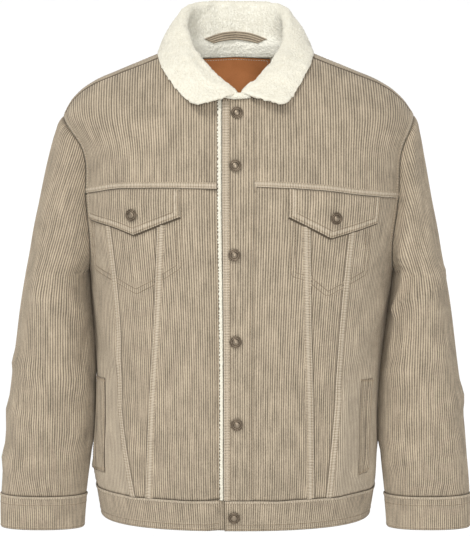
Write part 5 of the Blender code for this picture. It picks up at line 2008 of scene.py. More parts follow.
@dataclass
class Fronts:
    """Both fronts: yokes, side, middle and centre panels, placket, flaps and welts."""

    torso: Torso
    wardrobe: Wardrobe
    v_band: float = 0.0095
    centre_band: float = 0.0108
    yoke_band: float = 0.0082
    armhole_band: float = 0.0072
    lap: tuple[float, float] = (0.0315, 0.02)
    placket_band: float = 0.0096

    def underlap(self, across: Array, up: Array) -> Array:
        """How far the right front steps in, so that it passes under the left front."""
        return -UNDERLAP_STEP * smooth_step((across - UNDERLAP_START) / (UNDERLAP_END - UNDERLAP_START))

    @staticmethod
    def rubbed(across: Array, up: Array) -> tuple[Array, Array]:
        """The rise and the wear of a side panel, which is rubbed pale towards the waist."""
        return 0 * up, 0.08 + 0.2 * smooth_step((-0.36 - up) / 0.12)

    def yoke_edge(self, side: Side, shift: float) -> Edge:
        """An end edge along one yoke seam."""
        return lambda across: self.torso.yoke_rise(side, across) + shift

    def neck_edge(self, across: Array) -> Array:
        """The upper edge of the yokes and the placket."""
        return self.torso.neck_rise(across) - SEAM_GAP / 2

    def build(self) -> None:
        """Build every piece of both fronts."""
        for side in Side:
            self.build_side(side)
            self.build_middle(side)
            self.build_centre(side)
            self.build_yoke(side)
            self.build_flap(side)
            self.build_welt(side)
        self.build_placket()

    def front_lift(self, side: Side) -> Lift:
        """How far one front lies off the body: only the right one steps in."""
        return self.underlap if side is Side.RIGHT else raised(0.0)

    def start_lower(
            self, part: str, side: Side, near: Edge, far: Edge, top: float = PANEL_TOP,
            **dress: Callable[..., object]) -> Piece:
        """Start a piece that reaches from the waist seam to the yoke seam, with its panel.

        Args:
            part: Which part of the front it is.
            side: The wearer's side.
            near: Its edge towards the placket.
            far: Its edge towards the side seam.
            top: About how far up it reaches.
            dress: The lift or the shade of its panel.

        Returns:
            The piece, still without its seams.
        """
        gap = SEAM_GAP / 2
        left, right = (near, far) if side is Side.LEFT else (far, near)
        piece = Piece(f"front_{part}_{side.word}_cloth", self.wardrobe)
        Panel(
            piece.name, self.torso, left, right, level(WAIST_SEAM + gap), self.yoke_edge(side, -gap),
            WAIST_SEAM, top, **dress).build(piece)
        return piece

    @staticmethod
    def finish_lower(piece: Piece, part: str, side: Side) -> None:
        """Finish a piece that hangs from the yoke of its side."""
        piece.finish((f"front_{part}_{side.word}",), Slot.CORDUROY, (f"front_yoke_{side.word}_cloth",))

    def build_side(self, side: Side) -> None:
        """Build the side panel.

        Args:
            side: The wearer's side.
        """
        gap = SEAM_GAP / 2
        sign = side.value
        far: Edge = lambda up: sign * (self.torso.armhole_across(up) - gap)
        near = self.torso.v_seam(side, "outer", sign * gap)
        piece = self.start_lower("side", side, near, far, SIDE_PANEL_TOP, shade=self.rubbed)
        seam = along_up(near, WAIST_SEAM + SEAM_INSET, SIDE_SEAM_TOP)
        piece.add_band(self.torso, seam, -sign * self.v_band, seed=11 + sign)
        armhole = along_up(far, UNDERARM + UNDERARM_INSET, SIDE_ARMHOLE_TOP)
        piece.add_band(self.torso, armhole, sign * self.armhole_band, rows=(0.8,), height=0.7, seed=17)
        self.finish_lower(piece, "side", side)

    def build_middle(self, side: Side) -> None:
        """Build the narrow panel between the V seams.

        Args:
            side: The wearer's side.
        """
        shift = side.value * SEAM_GAP / 2
        near, far = self.torso.v_seam(side, "inner", shift), self.torso.v_seam(side, "outer", -shift)
        piece = self.start_lower("middle", side, near, far)
        line = resampled(POCKET_LINES[side])
        for aside, seed in ((0.0, 5), (POCKET_ROW_GAP, 6)):
            piece.add_row(self.torso, moved_aside(line, -aside), 0.0, seed, 0.6)
        self.finish_lower(piece, "middle", side)

    def build_centre(self, side: Side) -> None:
        """Build the centre panel.

        Args:
            side: The wearer's side.
        """
        gap = SEAM_GAP / 2
        sign = side.value
        seam_edge = self.torso.v_seam(side, "inner", -sign * gap)
        near = upright(PLACKET_SEAM + gap if side is Side.LEFT else UNDERLAP_EDGE)
        piece = self.start_lower("centre", side, near, seam_edge, lift=self.front_lift(side))
        seam = along_up(seam_edge, WAIST_SEAM + SEAM_INSET, CENTRE_SEAM_TOP)
        piece.add_band(self.torso, seam, sign * self.centre_band, seed=23 + sign)
        if side is Side.LEFT:
            row = along_up(
                upright(PLACKET_SEAM + PLACKET_ROW_INSET), WAIST_SEAM + ROW_INSET, CENTRE_ROW_TOP)
            piece.add_row(self.torso, row, 0.0, 8)
        self.finish_lower(piece, "centre", side)

    def build_yoke(self, side: Side) -> None:
        """Build the front yoke.

        Args:
            side: The wearer's side.
        """
        gap = SEAM_GAP / 2
        sign = side.value
        edge = float(self.torso.armhole_across(ARMHOLE_TURN)) - gap
        left, right = (PLACKET_SEAM + gap, edge) if side is Side.LEFT else (-edge, UNDERLAP_EDGE)
        piece = Piece(f"front_yoke_{side.word}_cloth", self.wardrobe)
        Panel(
            piece.name, self.torso, upright(left), upright(right), self.yoke_edge(side, gap),
            self.neck_edge, PANEL_TOP, 0.0, lift=self.front_lift(side), lining=0.0045).build(piece)
        inner = PLACKET_SEAM + SEAM_INSET if side is Side.LEFT else UNDERLAP_SEAM_END
        seam = along_across(self.yoke_edge(side, gap), sign * inner, sign * (edge - SEAM_INSET))
        piece.add_band(self.torso, seam, sign * self.yoke_band, seed=31 + sign)
        self.build_lap(piece, sign, edge)
        top = float(self.torso.shoulder_rise(np.array(sign * edge))) - SEAM_INSET
        bottom = float(self.torso.yoke_rise(side, np.array(sign * edge))) + SEAM_INSET
        armhole = along_up(upright(sign * edge), bottom, top)
        piece.add_band(self.torso, armhole, sign * self.armhole_band, rows=(0.8,), height=0.7, seed=41)
        if side is Side.LEFT:
            row = along_up(
                upright(PLACKET_SEAM + PLACKET_ROW_INSET), bottom + 0.012, FRONT_NECK_RISE - 0.004)
            piece.add_row(self.torso, row, 0.0, 9)
        piece.finish((f"front_yoke_{side.word}",), Slot.CORDUROY, ("back_yoke_cloth",))

    def build_lap(self, piece: Piece, sign: int, edge: float) -> None:
        """Lap the back yoke over the shoulder to a stitched edge on the front.

        Args:
            piece: The front yoke, which carries it.
            sign: 1 on the wearer's left and -1 on the right.
            edge: Where the armhole lies across the cloth.
        """
        reach = np.linspace(NECK_HALF_WIDTH + 0.0006, edge - 0.0004, 120)
        drop = np.interp(reach, (NECK_HALF_WIDTH, edge), self.lap)
        profile = np.array(LAP_PROFILE)
        shares, past = profile[:-LAP_PAST, 0], profile[-LAP_PAST:, 0] * 0.001
        down = np.concatenate((drop[:, None] * shares, drop[:, None] + past), axis=1)
        across = sign * reach[:, None] + 0 * down
        up = self.torso.shoulder_rise(across) - 0.0002 - down
        ripple = Piece.ripple(reach, 97)[:, None]
        firm = np.minimum(1, profile[:, 1])
        rise = profile[:, 1] * 0.001 + PUCKER_RISE * 0.7 * ripple * firm
        # Past the lap's edge the dark values are painted shadow; the ripple paints pucker crests lighter and
        # troughs darker.
        wear = profile[:, 2] + 0.15 * ripple * firm
        points = self.torso.points(across, up, rise)
        piece.seams().add_sheet(points, (down, across), wear, Finish.CORDUROY, flip=sign > 0)
        row = (across[:, 0], self.torso.shoulder_rise(across[:, 0]) - drop + 0.0016)
        piece.add_stitches(self.torso, row, 0.0011, seed=37)

    def build_placket(self) -> None:
        """Build the buttoned band of the left front and the sherpa edge beside it."""
        gap = SEAM_GAP / 2
        piece = Piece("front_placket_cloth", self.wardrobe)
        Panel(
            piece.name, self.torso, upright(PLACKET_EDGE), upright(PLACKET_SEAM - gap),
            level(WAIST_SEAM + gap), self.neck_edge, WAIST_SEAM, FRONT_NECK_RISE,
            lift=raised(PLACKET_LIFT)).build(piece)
        seam = along_up(upright(PLACKET_EDGE + 0.0001), WAIST_SEAM + SEAM_INSET, PLACKET_ROW_TOP)
        piece.add_band(
            self.torso, seam, -self.placket_band, PLACKET_LIFT, rows=(0.62, 0.93), height=0.8, seed=43)
        row = along_up(upright(PLACKET_SEAM - 0.0018), WAIST_SEAM + ROW_INSET, PLACKET_ROW_TOP)
        piece.add_row(self.torso, row, PLACKET_LIFT, 10)
        piece.finish(("front_placket",), Slot.CORDUROY, ("front_yoke_left_cloth",))
        self.build_fleece_edge()

    def build_fleece_edge(self) -> None:
        """Build the strip of sherpa that shows beside the placket's free edge."""
        edge = PLACKET_EDGE - SEAM_GAP
        up = spaced(WAIST_SEAM + SEAM_INSET, FLEECE_STRIP_TOP, FLEECE_STRIP_STEP)[:, None]
        share = np.linspace(0, 1, 9)
        across = edge - FLEECE_STRIP_WIDTH * (1.1 - share) + 0 * up
        base = self.torso.points(across, up)
        pile = pile_rise(base, FLEECE_CURL)
        ragged = np.sin(up / FLEECE_TOOTH_PITCH + 2.4 * Waves(71, 0.009).at(base)) + 0.4
        across = across - np.maximum(0, 0.5 - share) * FLEECE_TOOTH_DEPTH * (ragged + pile)
        crown = FLEECE_FOOT + FLEECE_CROWN * np.sin(math.pi * np.clip(share * 0.75 + 0.12, 0, 1)) ** 0.7
        points = self.torso.points(across, up + 0 * across, crown + FLEECE_PILE * pile)
        piece = Piece("front_edge_fleece_pile", self.wardrobe)
        piece.measure(points[::4])
        inward = self.torso.normal(across, up) * -FLEECE_TURN
        piece.add_sheet(points, (across, up + 0 * across), pile - 0.6, Finish.SHERPA, inward)
        piece.finish(("front_edge_fleece",), Slot.SHERPA, ("front_placket_cloth",))

    def build_flap(self, side: Side) -> None:
        """Build the pointed chest pocket flap.

        Args:
            side: The wearer's side.
        """
        sizes = FLAPS[side]
        sign = side.value
        x = np.linspace(sizes["inner"], sizes["outer"], 60)
        point = (sizes["point"] - sizes["inner"]) / (sizes["outer"] - sizes["inner"])
        drop = np.interp((x - x[0]) / (x[-1] - x[0]), (0, point, 1), FLAP_DROPS)
        table = sign * self.torso.across_of(sign * x, np.full(x.shape, FLAP_MIDDLE))

        def top(across: Array) -> Array:
            return self.torso.yoke_rise(side, across) - 2 * SEAM_GAP

        def bottom(across: Array) -> Array:
            return top(across) - np.interp(sign * across, table, drop)

        def lift(across: Array, up: Array) -> Array:
            depth = (top(across) - up) / (top(across) - bottom(across))
            return FLAP_GAP + FLAP_HANG * depth + FLAP_WALL

        ends = sorted((sign * table[0], sign * table[-1]))
        tip = sign * float(np.interp(sizes["point"], x, table))
        curve = np.union1d(spaced(*ends, 0.006), [tip])
        turns = [(ends[0], top(ends[0])), *zip(curve, bottom(curve)), (ends[1], top(ends[1]))]

        def shade(across: Array, up: Array) -> tuple[Array, Array]:
            inset = path_distance(across, up, turns)
            puffed = np.exp(-((inset - FLAP_ROWS[0] / 2) / 0.0012) ** 2)
            puffed = puffed + 0.6 * np.exp(-((inset - sum(FLAP_ROWS) / 2) / 0.0028) ** 2)
            mottle = Waves(91, FLAP_MOTTLE).at(np.stack((across, up, 0 * up), axis=-1))
            border = smooth_step((FLAP_BORDER[0] - inset) / FLAP_BORDER[1])
            return FLAP_PUFF[0] * puffed, FLAP_PUFF[1] * puffed + (0.12 + 0.18 * mottle) * border

        piece = Piece(f"pocket_flap_{side.word}_cloth", self.wardrobe)
        Panel(
            piece.name, self.torso, upright(ends[0]), upright(ends[1]), bottom, top,
            FLAP_LOWEST, SIDE_PANEL_TOP, lift=lift, wall=FLAP_WALL, lining=0.0, step=FLAP_STEP,
            shade=shade).build(piece)
        for aside, seed in zip(FLAP_ROWS, (12, 13)):
            row = moved_aside(resampled(turns, 0.0011), aside)
            inside = (row[1] < top(row[0]) - 0.0005) & (path_distance(*row, turns) > 0.93 * aside)
            row = (row[0][inside], row[1][inside])
            piece.add_row(self.torso, row, lift(*row) + 0.0001, seed, 0.45)
        # Painted shadow: a dark strip on the body along the flap's lower edge.
        piece.add_ribbon(self.torso, resampled(turns[1:-1]), FLAP_PAINTED_SHADOW)
        piece.finish((f"pocket_flap_{side.word}",), Slot.CORDUROY, (f"front_yoke_{side.word}_cloth",))

    def build_welt(self, side: Side) -> None:
        """Build the welt of the hand pocket.

        Args:
            side: The wearer's side.
        """
        ends = sorted(float(self.torso.across_of(x, np.array(WELT_MIDDLE))) for x in WELTS[side])
        middle = (ends[0] + ends[1]) / 2

        def lift(across: Array, up: Array) -> Array:
            depth, width = WELT_SLIT
            slit = np.exp(-((across - middle - side.value * width) / width) ** 2)
            return WELT_GAP + WELT_RISE - depth * slit

        piece = Piece(f"welt_{side.word}_cloth", self.wardrobe)
        Panel(
            piece.name, self.torso, upright(ends[0]), upright(ends[1]), level(WELT_BOTTOM),
            level(WELT_TOP), WELT_BOTTOM, WELT_TOP, lift=lift, wall=WELT_LIFT, lining=0.0).build(piece)
        for across, seed in ((ends[0] + WELT_ROW_INSET, 14), (ends[1] - WELT_ROW_INSET, 15)):
            row = along_up(upright(across), WELT_BOTTOM + WELT_TACK_REACH, WELT_TOP - WELT_TACK_REACH)
            piece.add_row(self.torso, row, WELT_GAP + WELT_RISE, seed, 0.3)
        left, right = ends[0] - WELT_TACK_REACH, ends[1] + WELT_TACK_REACH
        tacks = ((WELT_TOP - SEAM_INSET, -WELT_TACK_SLANT), (WELT_BOTTOM + SEAM_INSET, WELT_TACK_SLANT))
        for height, slant in tacks:
            for step in WELT_TACKS:
                row = resampled(((left, height + step), (right, height + step + slant)))
                piece.add_stitches(self.torso, row, WELT_GAP + WELT_RISE + WALE_DEPTH, seed=16)
        piece.finish(
            (f"welt_{side.word}",), Slot.CORDUROY, (f"front_side_{side.word}_cloth",), layers=WELT_LAYERS)


@dataclass
class Back:
    """The back yoke and the back body."""

    torso: Torso
    wardrobe: Wardrobe
    band: float = 0.009
    armhole_band: float = 0.0072

    def build(self) -> None:
        """Build both pieces."""
        gap = SEAM_GAP / 2
        girth = 2 * self.torso.half_girth
        near = float(self.torso.armhole_across(ARMHOLE_TURN, back=True)) + gap
        yoke = Piece("back_yoke_cloth", self.wardrobe)
        Panel(
            yoke.name, self.torso, upright(near), upright(girth - near), level(BACK_YOKE_RISE + gap),
            lambda across: self.torso.neck_rise(across) - gap, BACK_YOKE_RISE, 0.0, lining=0.003).build(yoke)
        seam = along_across(
            level(BACK_YOKE_RISE + gap), near + SEAM_INSET, girth - near - SEAM_INSET)
        yoke.add_band(self.torso, seam, self.band, seed=53)
        for start, sign in ((near, 1), (girth - near, -1)):
            top = float(self.torso.shoulder_rise(np.array(start))) - SEAM_INSET
            armhole = along_up(upright(start), BACK_YOKE_RISE + SEAM_INSET, top)
            yoke.add_band(self.torso, armhole, -sign * self.armhole_band, rows=(0.8,), height=0.7, seed=59)
        yoke.finish(("back_yoke",), Slot.CORDUROY, held="stretched")
        body = Piece("back_body_cloth", self.wardrobe)
        left: Edge = lambda up: self.torso.armhole_across(up, back=True) + gap
        right: Edge = lambda up: girth - self.torso.armhole_across(up, back=True) - gap
        Panel(
            body.name, self.torso, left, right, level(WAIST_SEAM + gap), level(BACK_YOKE_RISE - gap),
            WAIST_SEAM, BACK_YOKE_RISE).build(body)
        for edge, sign in ((left, 1), (right, -1)):
            armhole = along_up(edge, UNDERARM + UNDERARM_INSET, BACK_YOKE_RISE - SEAM_INSET)
            body.add_band(self.torso, armhole, -sign * self.armhole_band, rows=(0.8,), height=0.7, seed=61)
            side_seam = along_up(edge, WAIST_SEAM + SEAM_INSET, UNDERARM - SEAM_INSET)
            body.add_band(self.torso, side_seam, -sign * self.band, seed=67)
        body.finish(("back_body",), Slot.CORDUROY, ("back_yoke_cloth",))


@dataclass
class Waistband:
    """The waistband in three lengths, the right end passing under the left one."""

    torso: Torso
    fronts: Fronts
    wardrobe: Wardrobe

    def build(self) -> None:
        """Build the three lengths, each with a stitched band at its seam and two rows above the hem."""
        gap = SEAM_GAP / 2
        side_seam = self.torso.side_seam
        girth = 2 * self.torso.half_girth
        spans = {
            "left": (PLACKET_EDGE, side_seam - gap, "front_centre_left_cloth"),
            "right": (gap - side_seam, UNDERLAP_EDGE, "front_centre_right_cloth"),
            "back": (side_seam + gap, girth - side_seam - gap, "back_body_cloth"),
        }
        for word, (start, end, above) in spans.items():
            lapped = 1.0 if word == "right" else 0.0

            def lift(across: Array, up: Array) -> Array:
                return PLACKET_LIFT + lapped * self.fronts.underlap(across, up)

            piece = Piece(f"waistband_{word}_cloth", self.wardrobe)
            top = WAIST_SEAM - SEAM_GAP
            Panel(
                piece.name, self.torso, upright(start), upright(end), level(HEM), level(top),
                HEM, top, lift=lift, wall=BAND_WALL).build(piece)
            shown = end - SEAM_INSET if word != "right" else UNDERLAP_END
            seam = along_across(level(top), start + SEAM_INSET, shown)
            piece.add_band(self.torso, seam, -HEM_BAND, PLACKET_LIFT, rows=(0.55,), height=0.6, seed=73)
            for height, seed in ((HEM + HEM_ROW, 18), (HEM + 0.0095, 19)):
                row = along_across(level(height), start + ROW_INSET, shown)
                piece.add_row(self.torso, row, lift(*row), seed)
            piece.finish((f"waistband_{word}",), Slot.CORDUROY, (above,))


@dataclass
class Sleeve:
    """One sleeve in two pieces, and its cuff."""

    arm: Arm
    wardrobe: Wardrobe

    def build(self) -> None:
        """Build the front piece, the back piece and the cuff."""
        side = self.arm.side
        elbow = ELBOW_GAP / 2 / SLEEVE_SHARE
        end = UNDERARM_SEAM_GAP / 2 / SLEEVE_SHARE
        spans = {
            "front": (-1 + end, ELBOW_SEAM - elbow, "front_yoke"),
            "back": (ELBOW_SEAM + elbow, 1 - end, "back_yoke"),
        }
        bottom = SLEEVE_END + SEAM_GAP
        for word, (first, last, above) in spans.items():
            left, right = self.arm.across_range(first, last)
            piece = Piece(f"sleeve_{word}_{side.word}_cloth", self.wardrobe)
            Panel(
                piece.name, self.arm, upright(left), upright(right), level(bottom), self.arm.top,
                bottom, -0.15, lining=0.0085).build(piece)
            if word == "front":
                across = side.value * SLEEVE_SHARE * last
                top = float(self.arm.top(np.array(across))) - 0.002
                seam = along_up(upright(across), bottom + SEAM_INSET, top)
                piece.add_band(self.arm, seam, side.value * 0.0085, seed=79)
            support = f"{above}_{side.word}_cloth" if word == "front" else "back_yoke_cloth"
            piece.finish((f"sleeve_{word}_{side.word}",), Slot.CORDUROY, (support,))
        self.build_cuff()

    def build_cuff(self) -> None:
        """Build the cuff with its pressed seam and rows of stitches."""
        side = self.arm.side
        left, right = self.arm.across_range(-CUFF_END_SHARE, CUFF_END_SHARE)
        piece = Piece(f"cuff_{side.word}_cloth", self.wardrobe)
        Panel(
            piece.name, self.arm, upright(left), upright(right), level(CUFF_END), level(SLEEVE_END),
            CUFF_END, SLEEVE_END, lift=raised(CUFF_LIFT), wall=BAND_WALL).build(piece)
        seam = along_across(level(SLEEVE_END), left + SEAM_INSET, right - SEAM_INSET)
        piece.add_band(self.arm, seam, -HEM_BAND, CUFF_LIFT, rows=(0.55,), height=0.6, seed=83)
        for height, seed in ((CUFF_END + HEM_ROW, 20), (SLEEVE_END - 0.012, 21)):
            row = along_across(level(height), left + ROW_INSET, right - ROW_INSET)
            piece.add_row(self.arm, row, CUFF_LIFT, seed)
        piece.finish((f"cuff_{side.word}",), Slot.CORDUROY, (f"sleeve_front_{side.word}_cloth",))


@dataclass
class Collar:
    """The sherpa top collar, the corduroy under collar, the hanger loop and the leather patch."""

    form: CollarForm
    torso: Torso
    wardrobe: Wardrobe
    counts: tuple[int, int, int] = (20, 22, 34)
    along: int = 330
    depth: float = 0.1
    half_length: float = 0.3
    ragged_reach: float = 0.003
    under_places: int = 420
    loop_places: int = 90
    skirt: tuple[float, float] = (0.0035, 0.016)
    # Painted light on the stand and the hang inside the neck: how much, up to which share of the rows, and
    # over what ramp.
    inner_painted_light: tuple[tuple[float, float, float], ...] = ((0.7, 0.46, 0.12), (0.9, 0.2, 0.08))
    end_roll_place: tuple[float, float, float] = (0.0018, -0.1005, -0.0588)
    end_roll_size: tuple[float, float, float] = (0.0182, 0.0064, 0.0045)

    def build(self) -> None:
        """Build the four pieces."""
        self.build_pile()
        self.build_under()
        self.build_loop()
        self.build_label()

    def build_pile(self) -> None:
        """Build the top collar with its curly pile."""
        places = np.linspace(-1, 1, self.along)
        face, facing = self.form.face(places, self.counts)
        hang = smooth_step((0.66 - np.abs(places)) / 0.2)[:, None, None] * np.linspace(1, 0, 11)[:-1, None]
        outward = unit(face[:, :1] * (1, 1, 0)) * self.skirt[0] - np.array((0, 0, self.skirt[1]))
        face = np.concatenate((face[:, :1] + hang * outward, face), axis=1)
        facing = np.concatenate((np.repeat(facing[:, :1], hang.shape[1], axis=1), facing), axis=1)
        rows = np.linspace(0, 1, face.shape[1])[None, :]
        from_edge = (1 - rows) * self.depth
        from_end = (1 - np.abs(places[:, None])) * self.half_length
        edge = np.minimum(np.minimum(rows * self.depth, from_edge), from_end)
        clump = pile_rise(face, PILE_SIZE)
        billow = Waves(5, 0.012).at(face)
        loft = smooth_step(edge / 0.004)
        rise = 0.0013 * clump + 0.0006 * billow - 0.0012 * (1 - loft) - 0.0004
        ragged = 0.0005 + 0.0007 * Waves(7, 0.003).at(face) + 0.0005 * Waves(8, 0.011).at(face)
        to_edge = unit(np.gradient(face, axis=1))
        to_edge = to_edge * (ragged * np.exp(-from_edge / self.ragged_reach))[..., None]
        to_end = unit(np.gradient(face, axis=0)) * np.sign(places)[:, None, None]
        to_end = to_end * (ragged * np.exp(-from_end / self.ragged_reach))[..., None]
        points = face + facing * rise[..., None] + to_edge + to_end
        across = np.linspace(-0.26, 0.26, self.along)[:, None] + 0 * rise
        up = 0.11 * rows + 0 * rise
        piece = Piece("top_collar_pile", self.wardrobe)
        piece.measure(face[::4, ::3])
        # Clump tops are paler than the painted shade between clumps; rows near the neck seam get painted
        # light where they lie in shade.
        pale = clump - 0.6
        for amount, start, ramp in self.inner_painted_light:
            pale = pale + amount * np.clip((start - rows) / ramp, 0, 1)
        piece.add_sheet(
            points, (across, up), pale, Finish.SHERPA, facing * (EDGE_TURN - FLEECE_WALL), flip=True)
        self.add_end_roll(piece)
        piece.finish(
            ("top_collar",), Slot.SHERPA, ("front_yoke_left_cloth", "back_yoke_cloth"), held="folded")

    def add_end_roll(self, piece: Piece) -> None:
        """Add the small roll of pile where both ends of the collar meet over the placket."""
        form = layered_form()
        pale = form.verts.layers.float["wear"]
        bmesh.ops.create_icosphere(form, subdivisions=4, radius=1.0)
        ragged = Waves(9, 0.25)
        for vert in form.verts:
            vert[pale] = 0.25
            swell = 1 + 0.1 * float(ragged.at(np.array(vert.co)))
            vert.co = Vector([
                middle + half * swell * place
                for middle, half, place in zip(self.end_roll_place, self.end_roll_size, vert.co)])
        piece.take(form, bpy.data.meshes.new("roll"), Finish.SHERPA)

    def build_under(self) -> None:
        """Build the corduroy under collar, inside the fall."""
        places = np.linspace(-0.998, 0.998, self.under_places)
        counts = (3, 6, 12)
        face, facing = self.form.face(places, counts)
        under = counts[0] + counts[1] // 2
        face, facing = face[:, under:], facing[:, under:]
        across = np.linspace(-0.28, 0.28, self.under_places)[:, None] + 0 * face[..., 0]
        up = np.linspace(0, 0.05, face.shape[1])[None, :] + 0 * across
        lift = FLEECE_WALL + SEAM_GAP + 0.0009 - 0.0003 * wale_rise(across)
        points = face - facing * lift[..., None]
        piece = Piece("under_collar_cloth", self.wardrobe)
        piece.measure(points[::4])
        wear = 0.35 * np.exp(-((up - 0.05) / 0.003) ** 2)
        piece.add_sheet(points, (across, up), wear, Finish.CORDUROY, facing * 0.0008)
        piece.finish(("under_collar",), Slot.CORDUROY, ("top_collar_pile",), held="folded")

    def build_loop(self) -> None:
        """Build the hanger loop, a tape of corduroy arched across the back of the stand."""
        count = self.loop_places
        bow = 1 - np.linspace(-1, 1, count) ** 2
        ends = []
        for edge in LOOP_EDGES:
            face, facing = self.form.face(np.linspace(-edge["reach"], edge["reach"], count), (3, 6, 4))
            share = (edge["rise"] + edge["arch"] * bow)[:, None]
            low, high = face[:, 0], face[:, 2]
            rise = (LOOP_TAPE + SEAM_GAP + LOOP_SLACK * bow)[:, None]
            ends.append(low + (high - low) * share + facing[:, 0] * rise)
        shares = np.linspace(0, 1, 15)
        points = ends[0][:, None] * (1 - shares)[:, None] + ends[1][:, None] * shares[:, None]
        width = float(np.linalg.norm(ends[1][count // 2] - ends[0][count // 2]))
        across = shares[None, :] * width + 0 * points[..., 0]
        up = np.linspace(0, 0.09, count)[:, None] + 0 * across
        points = points + facing[:, :1] * (WALE_DEPTH * wale_rise(across))[..., None]
        piece = Piece("hanger_loop_cloth", self.wardrobe)
        piece.measure(points[::4])
        wear = 0.3 * np.exp(-(np.minimum(across, width - across) / 0.0016) ** 2)
        inward = facing[:, :1] * (0.0003 - LOOP_TAPE) + 0 * points
        piece.add_sheet(points, (across, up), wear, Finish.CORDUROY, inward, flip=True)
        piece.finish(("hanger_loop",), Slot.CORDUROY, ("top_collar_pile",))

    def build_label(self) -> None:
        """Build the blank leather patch with a row of white stitches round it."""
        reach = spaced(-LABEL_HALF_WIDTH, LABEL_HALF_WIDTH, 0.0022)
        across, up = np.meshgrid(self.torso.half_girth + reach, spaced(LABEL_FOOT, LABEL_TOP, 0.0022))
        inset = np.minimum.reduce((
            LABEL_HALF_WIDTH - np.abs(across - self.torso.half_girth), up - LABEL_FOOT, LABEL_TOP - up))
        depth = WALL + LABEL_GAP + LABEL_LIFT - 0.0005 * np.exp(-(inset / 0.0012) ** 2)
        depth = depth - 0.0003 * np.exp(-((inset - 0.003) / 0.0009) ** 2)
        points = self.torso.points(across, up, -depth)
        piece = Piece("neck_label_leather", self.wardrobe)
        piece.measure(points)
        inward = self.torso.normal(across, up) * 0.001
        piece.add_sheet(points, (across, up), 0.0, Finish.LEATHER, inward, flip=True)
        middle = self.torso.half_girth
        half = LABEL_HALF_WIDTH - 0.003
        top, foot = LABEL_TOP - 0.0022, LABEL_FOOT + 0.003
        corners = ((-1, top), (1, top), (1, foot), (-1, foot), (-1, top))
        row = resampled((middle + half * turn, height) for turn, height in corners)
        depth = WALL + LABEL_GAP + LABEL_LIFT
        piece.add_stitches(self.torso, row, -depth, Finish.WHITE_THREAD, seed=22, radius=LABEL_THREAD)
        piece.finish(("neck_label",), Slot.LEATHER, ("back_yoke_cloth",))


@dataclass
class Buttons:
    """Domed metal buttons with raised rings."""

    torso: Torso
    wardrobe: Wardrobe
    radius: float = 0.0083
    height: float = 0.004
    steps: int = 40

    def profile(self) -> tuple[tuple[float, float, float], ...]:
        """Radius and height shares of the turned profile, with how bright each ring is rubbed."""
        return (
            (0.0, 0.0, 0.0), (0.78, 0.0, 0.0), (0.96, 0.16, 0.0), (1.0, 0.38, 0.1), (0.985, 0.58, 0.3),
            (0.93, 0.7, 0.45), (0.87, 0.68, 0.2), (0.82, 0.58, 0.0), (0.77, 0.57, 0.0), (0.73, 0.68, 0.25),
            (0.68, 0.72, 0.5), (0.63, 0.68, 0.2), (0.58, 0.6, 0.0), (0.52, 0.62, 0.0), (0.47, 0.74, 0.3),
            (0.4, 0.84, 0.6), (0.28, 0.92, 0.5), (0.14, 0.98, 0.6), (0.0, 1.0, 0.9),
        )

    def build_one(self, name: str, node: str, x: float, height: float, lift: float) -> None:
        """Turn one button and stand it on the cloth.

        Args:
            name: Name of the piece.
            node: The CAD node that it replaces.
            x: Sideways place.
            height: Height of the place.
            lift: Height of the cloth below it.
        """
        across = self.torso.across_of(x, np.array(height))
        base = self.torso.points(across, np.array(height), np.array(lift))
        facing = Vector(self.torso.normal(across, np.array(height)))
        piece = Piece(name, self.wardrobe)
        form = layered_form()
        rubbed = form.verts.layers.float["wear"]
        verts = []
        for radius, rise, rub in self.profile():
            verts.append(form.verts.new((radius * self.radius, 0, rise * self.height)))
            verts[-1][rubbed] = rub
        edges = [form.edges.new(pair) for pair in zip(verts, verts[1:])]
        bmesh.ops.spin(
            form, geom=verts + edges, cent=(0, 0, 0), axis=(0, 0, 1), angle=2 * math.pi,
            steps=self.steps, use_merge=True)
        bmesh.ops.remove_doubles(form, verts=form.verts[:], dist=0.00001)
        bmesh.ops.recalc_face_normals(form, faces=form.faces[:])
        turn = facing.to_track_quat("Z", "Y").to_matrix()
        bmesh.ops.rotate(form, verts=form.verts[:], cent=(0, 0, 0), matrix=turn)
        bmesh.ops.translate(form, verts=form.verts[:], vec=Vector(base))
        piece.take(form, bpy.data.meshes.new("turned"), Finish.METAL)
        piece.finish((node,), Slot.METAL, is_sheet=False)

    def build(self) -> None:
        """Build six buttons down the front and one on each flap."""
        for number, (x, height) in enumerate(FRONT_BUTTONS, start=1):
            node = f"front_button_{number}"
            self.build_one(f"{node}_metal", node, x, height, PLACKET_LIFT + SEAM_GAP * 2)
        for side in Side:
            x, height = FLAP_BUTTONS[side]
            node = f"flap_button_{side.word}"
            self.build_one(f"{node}_metal", node, x, height, FLAP_GAP + FLAP_LIFT + FLAP_WALL)


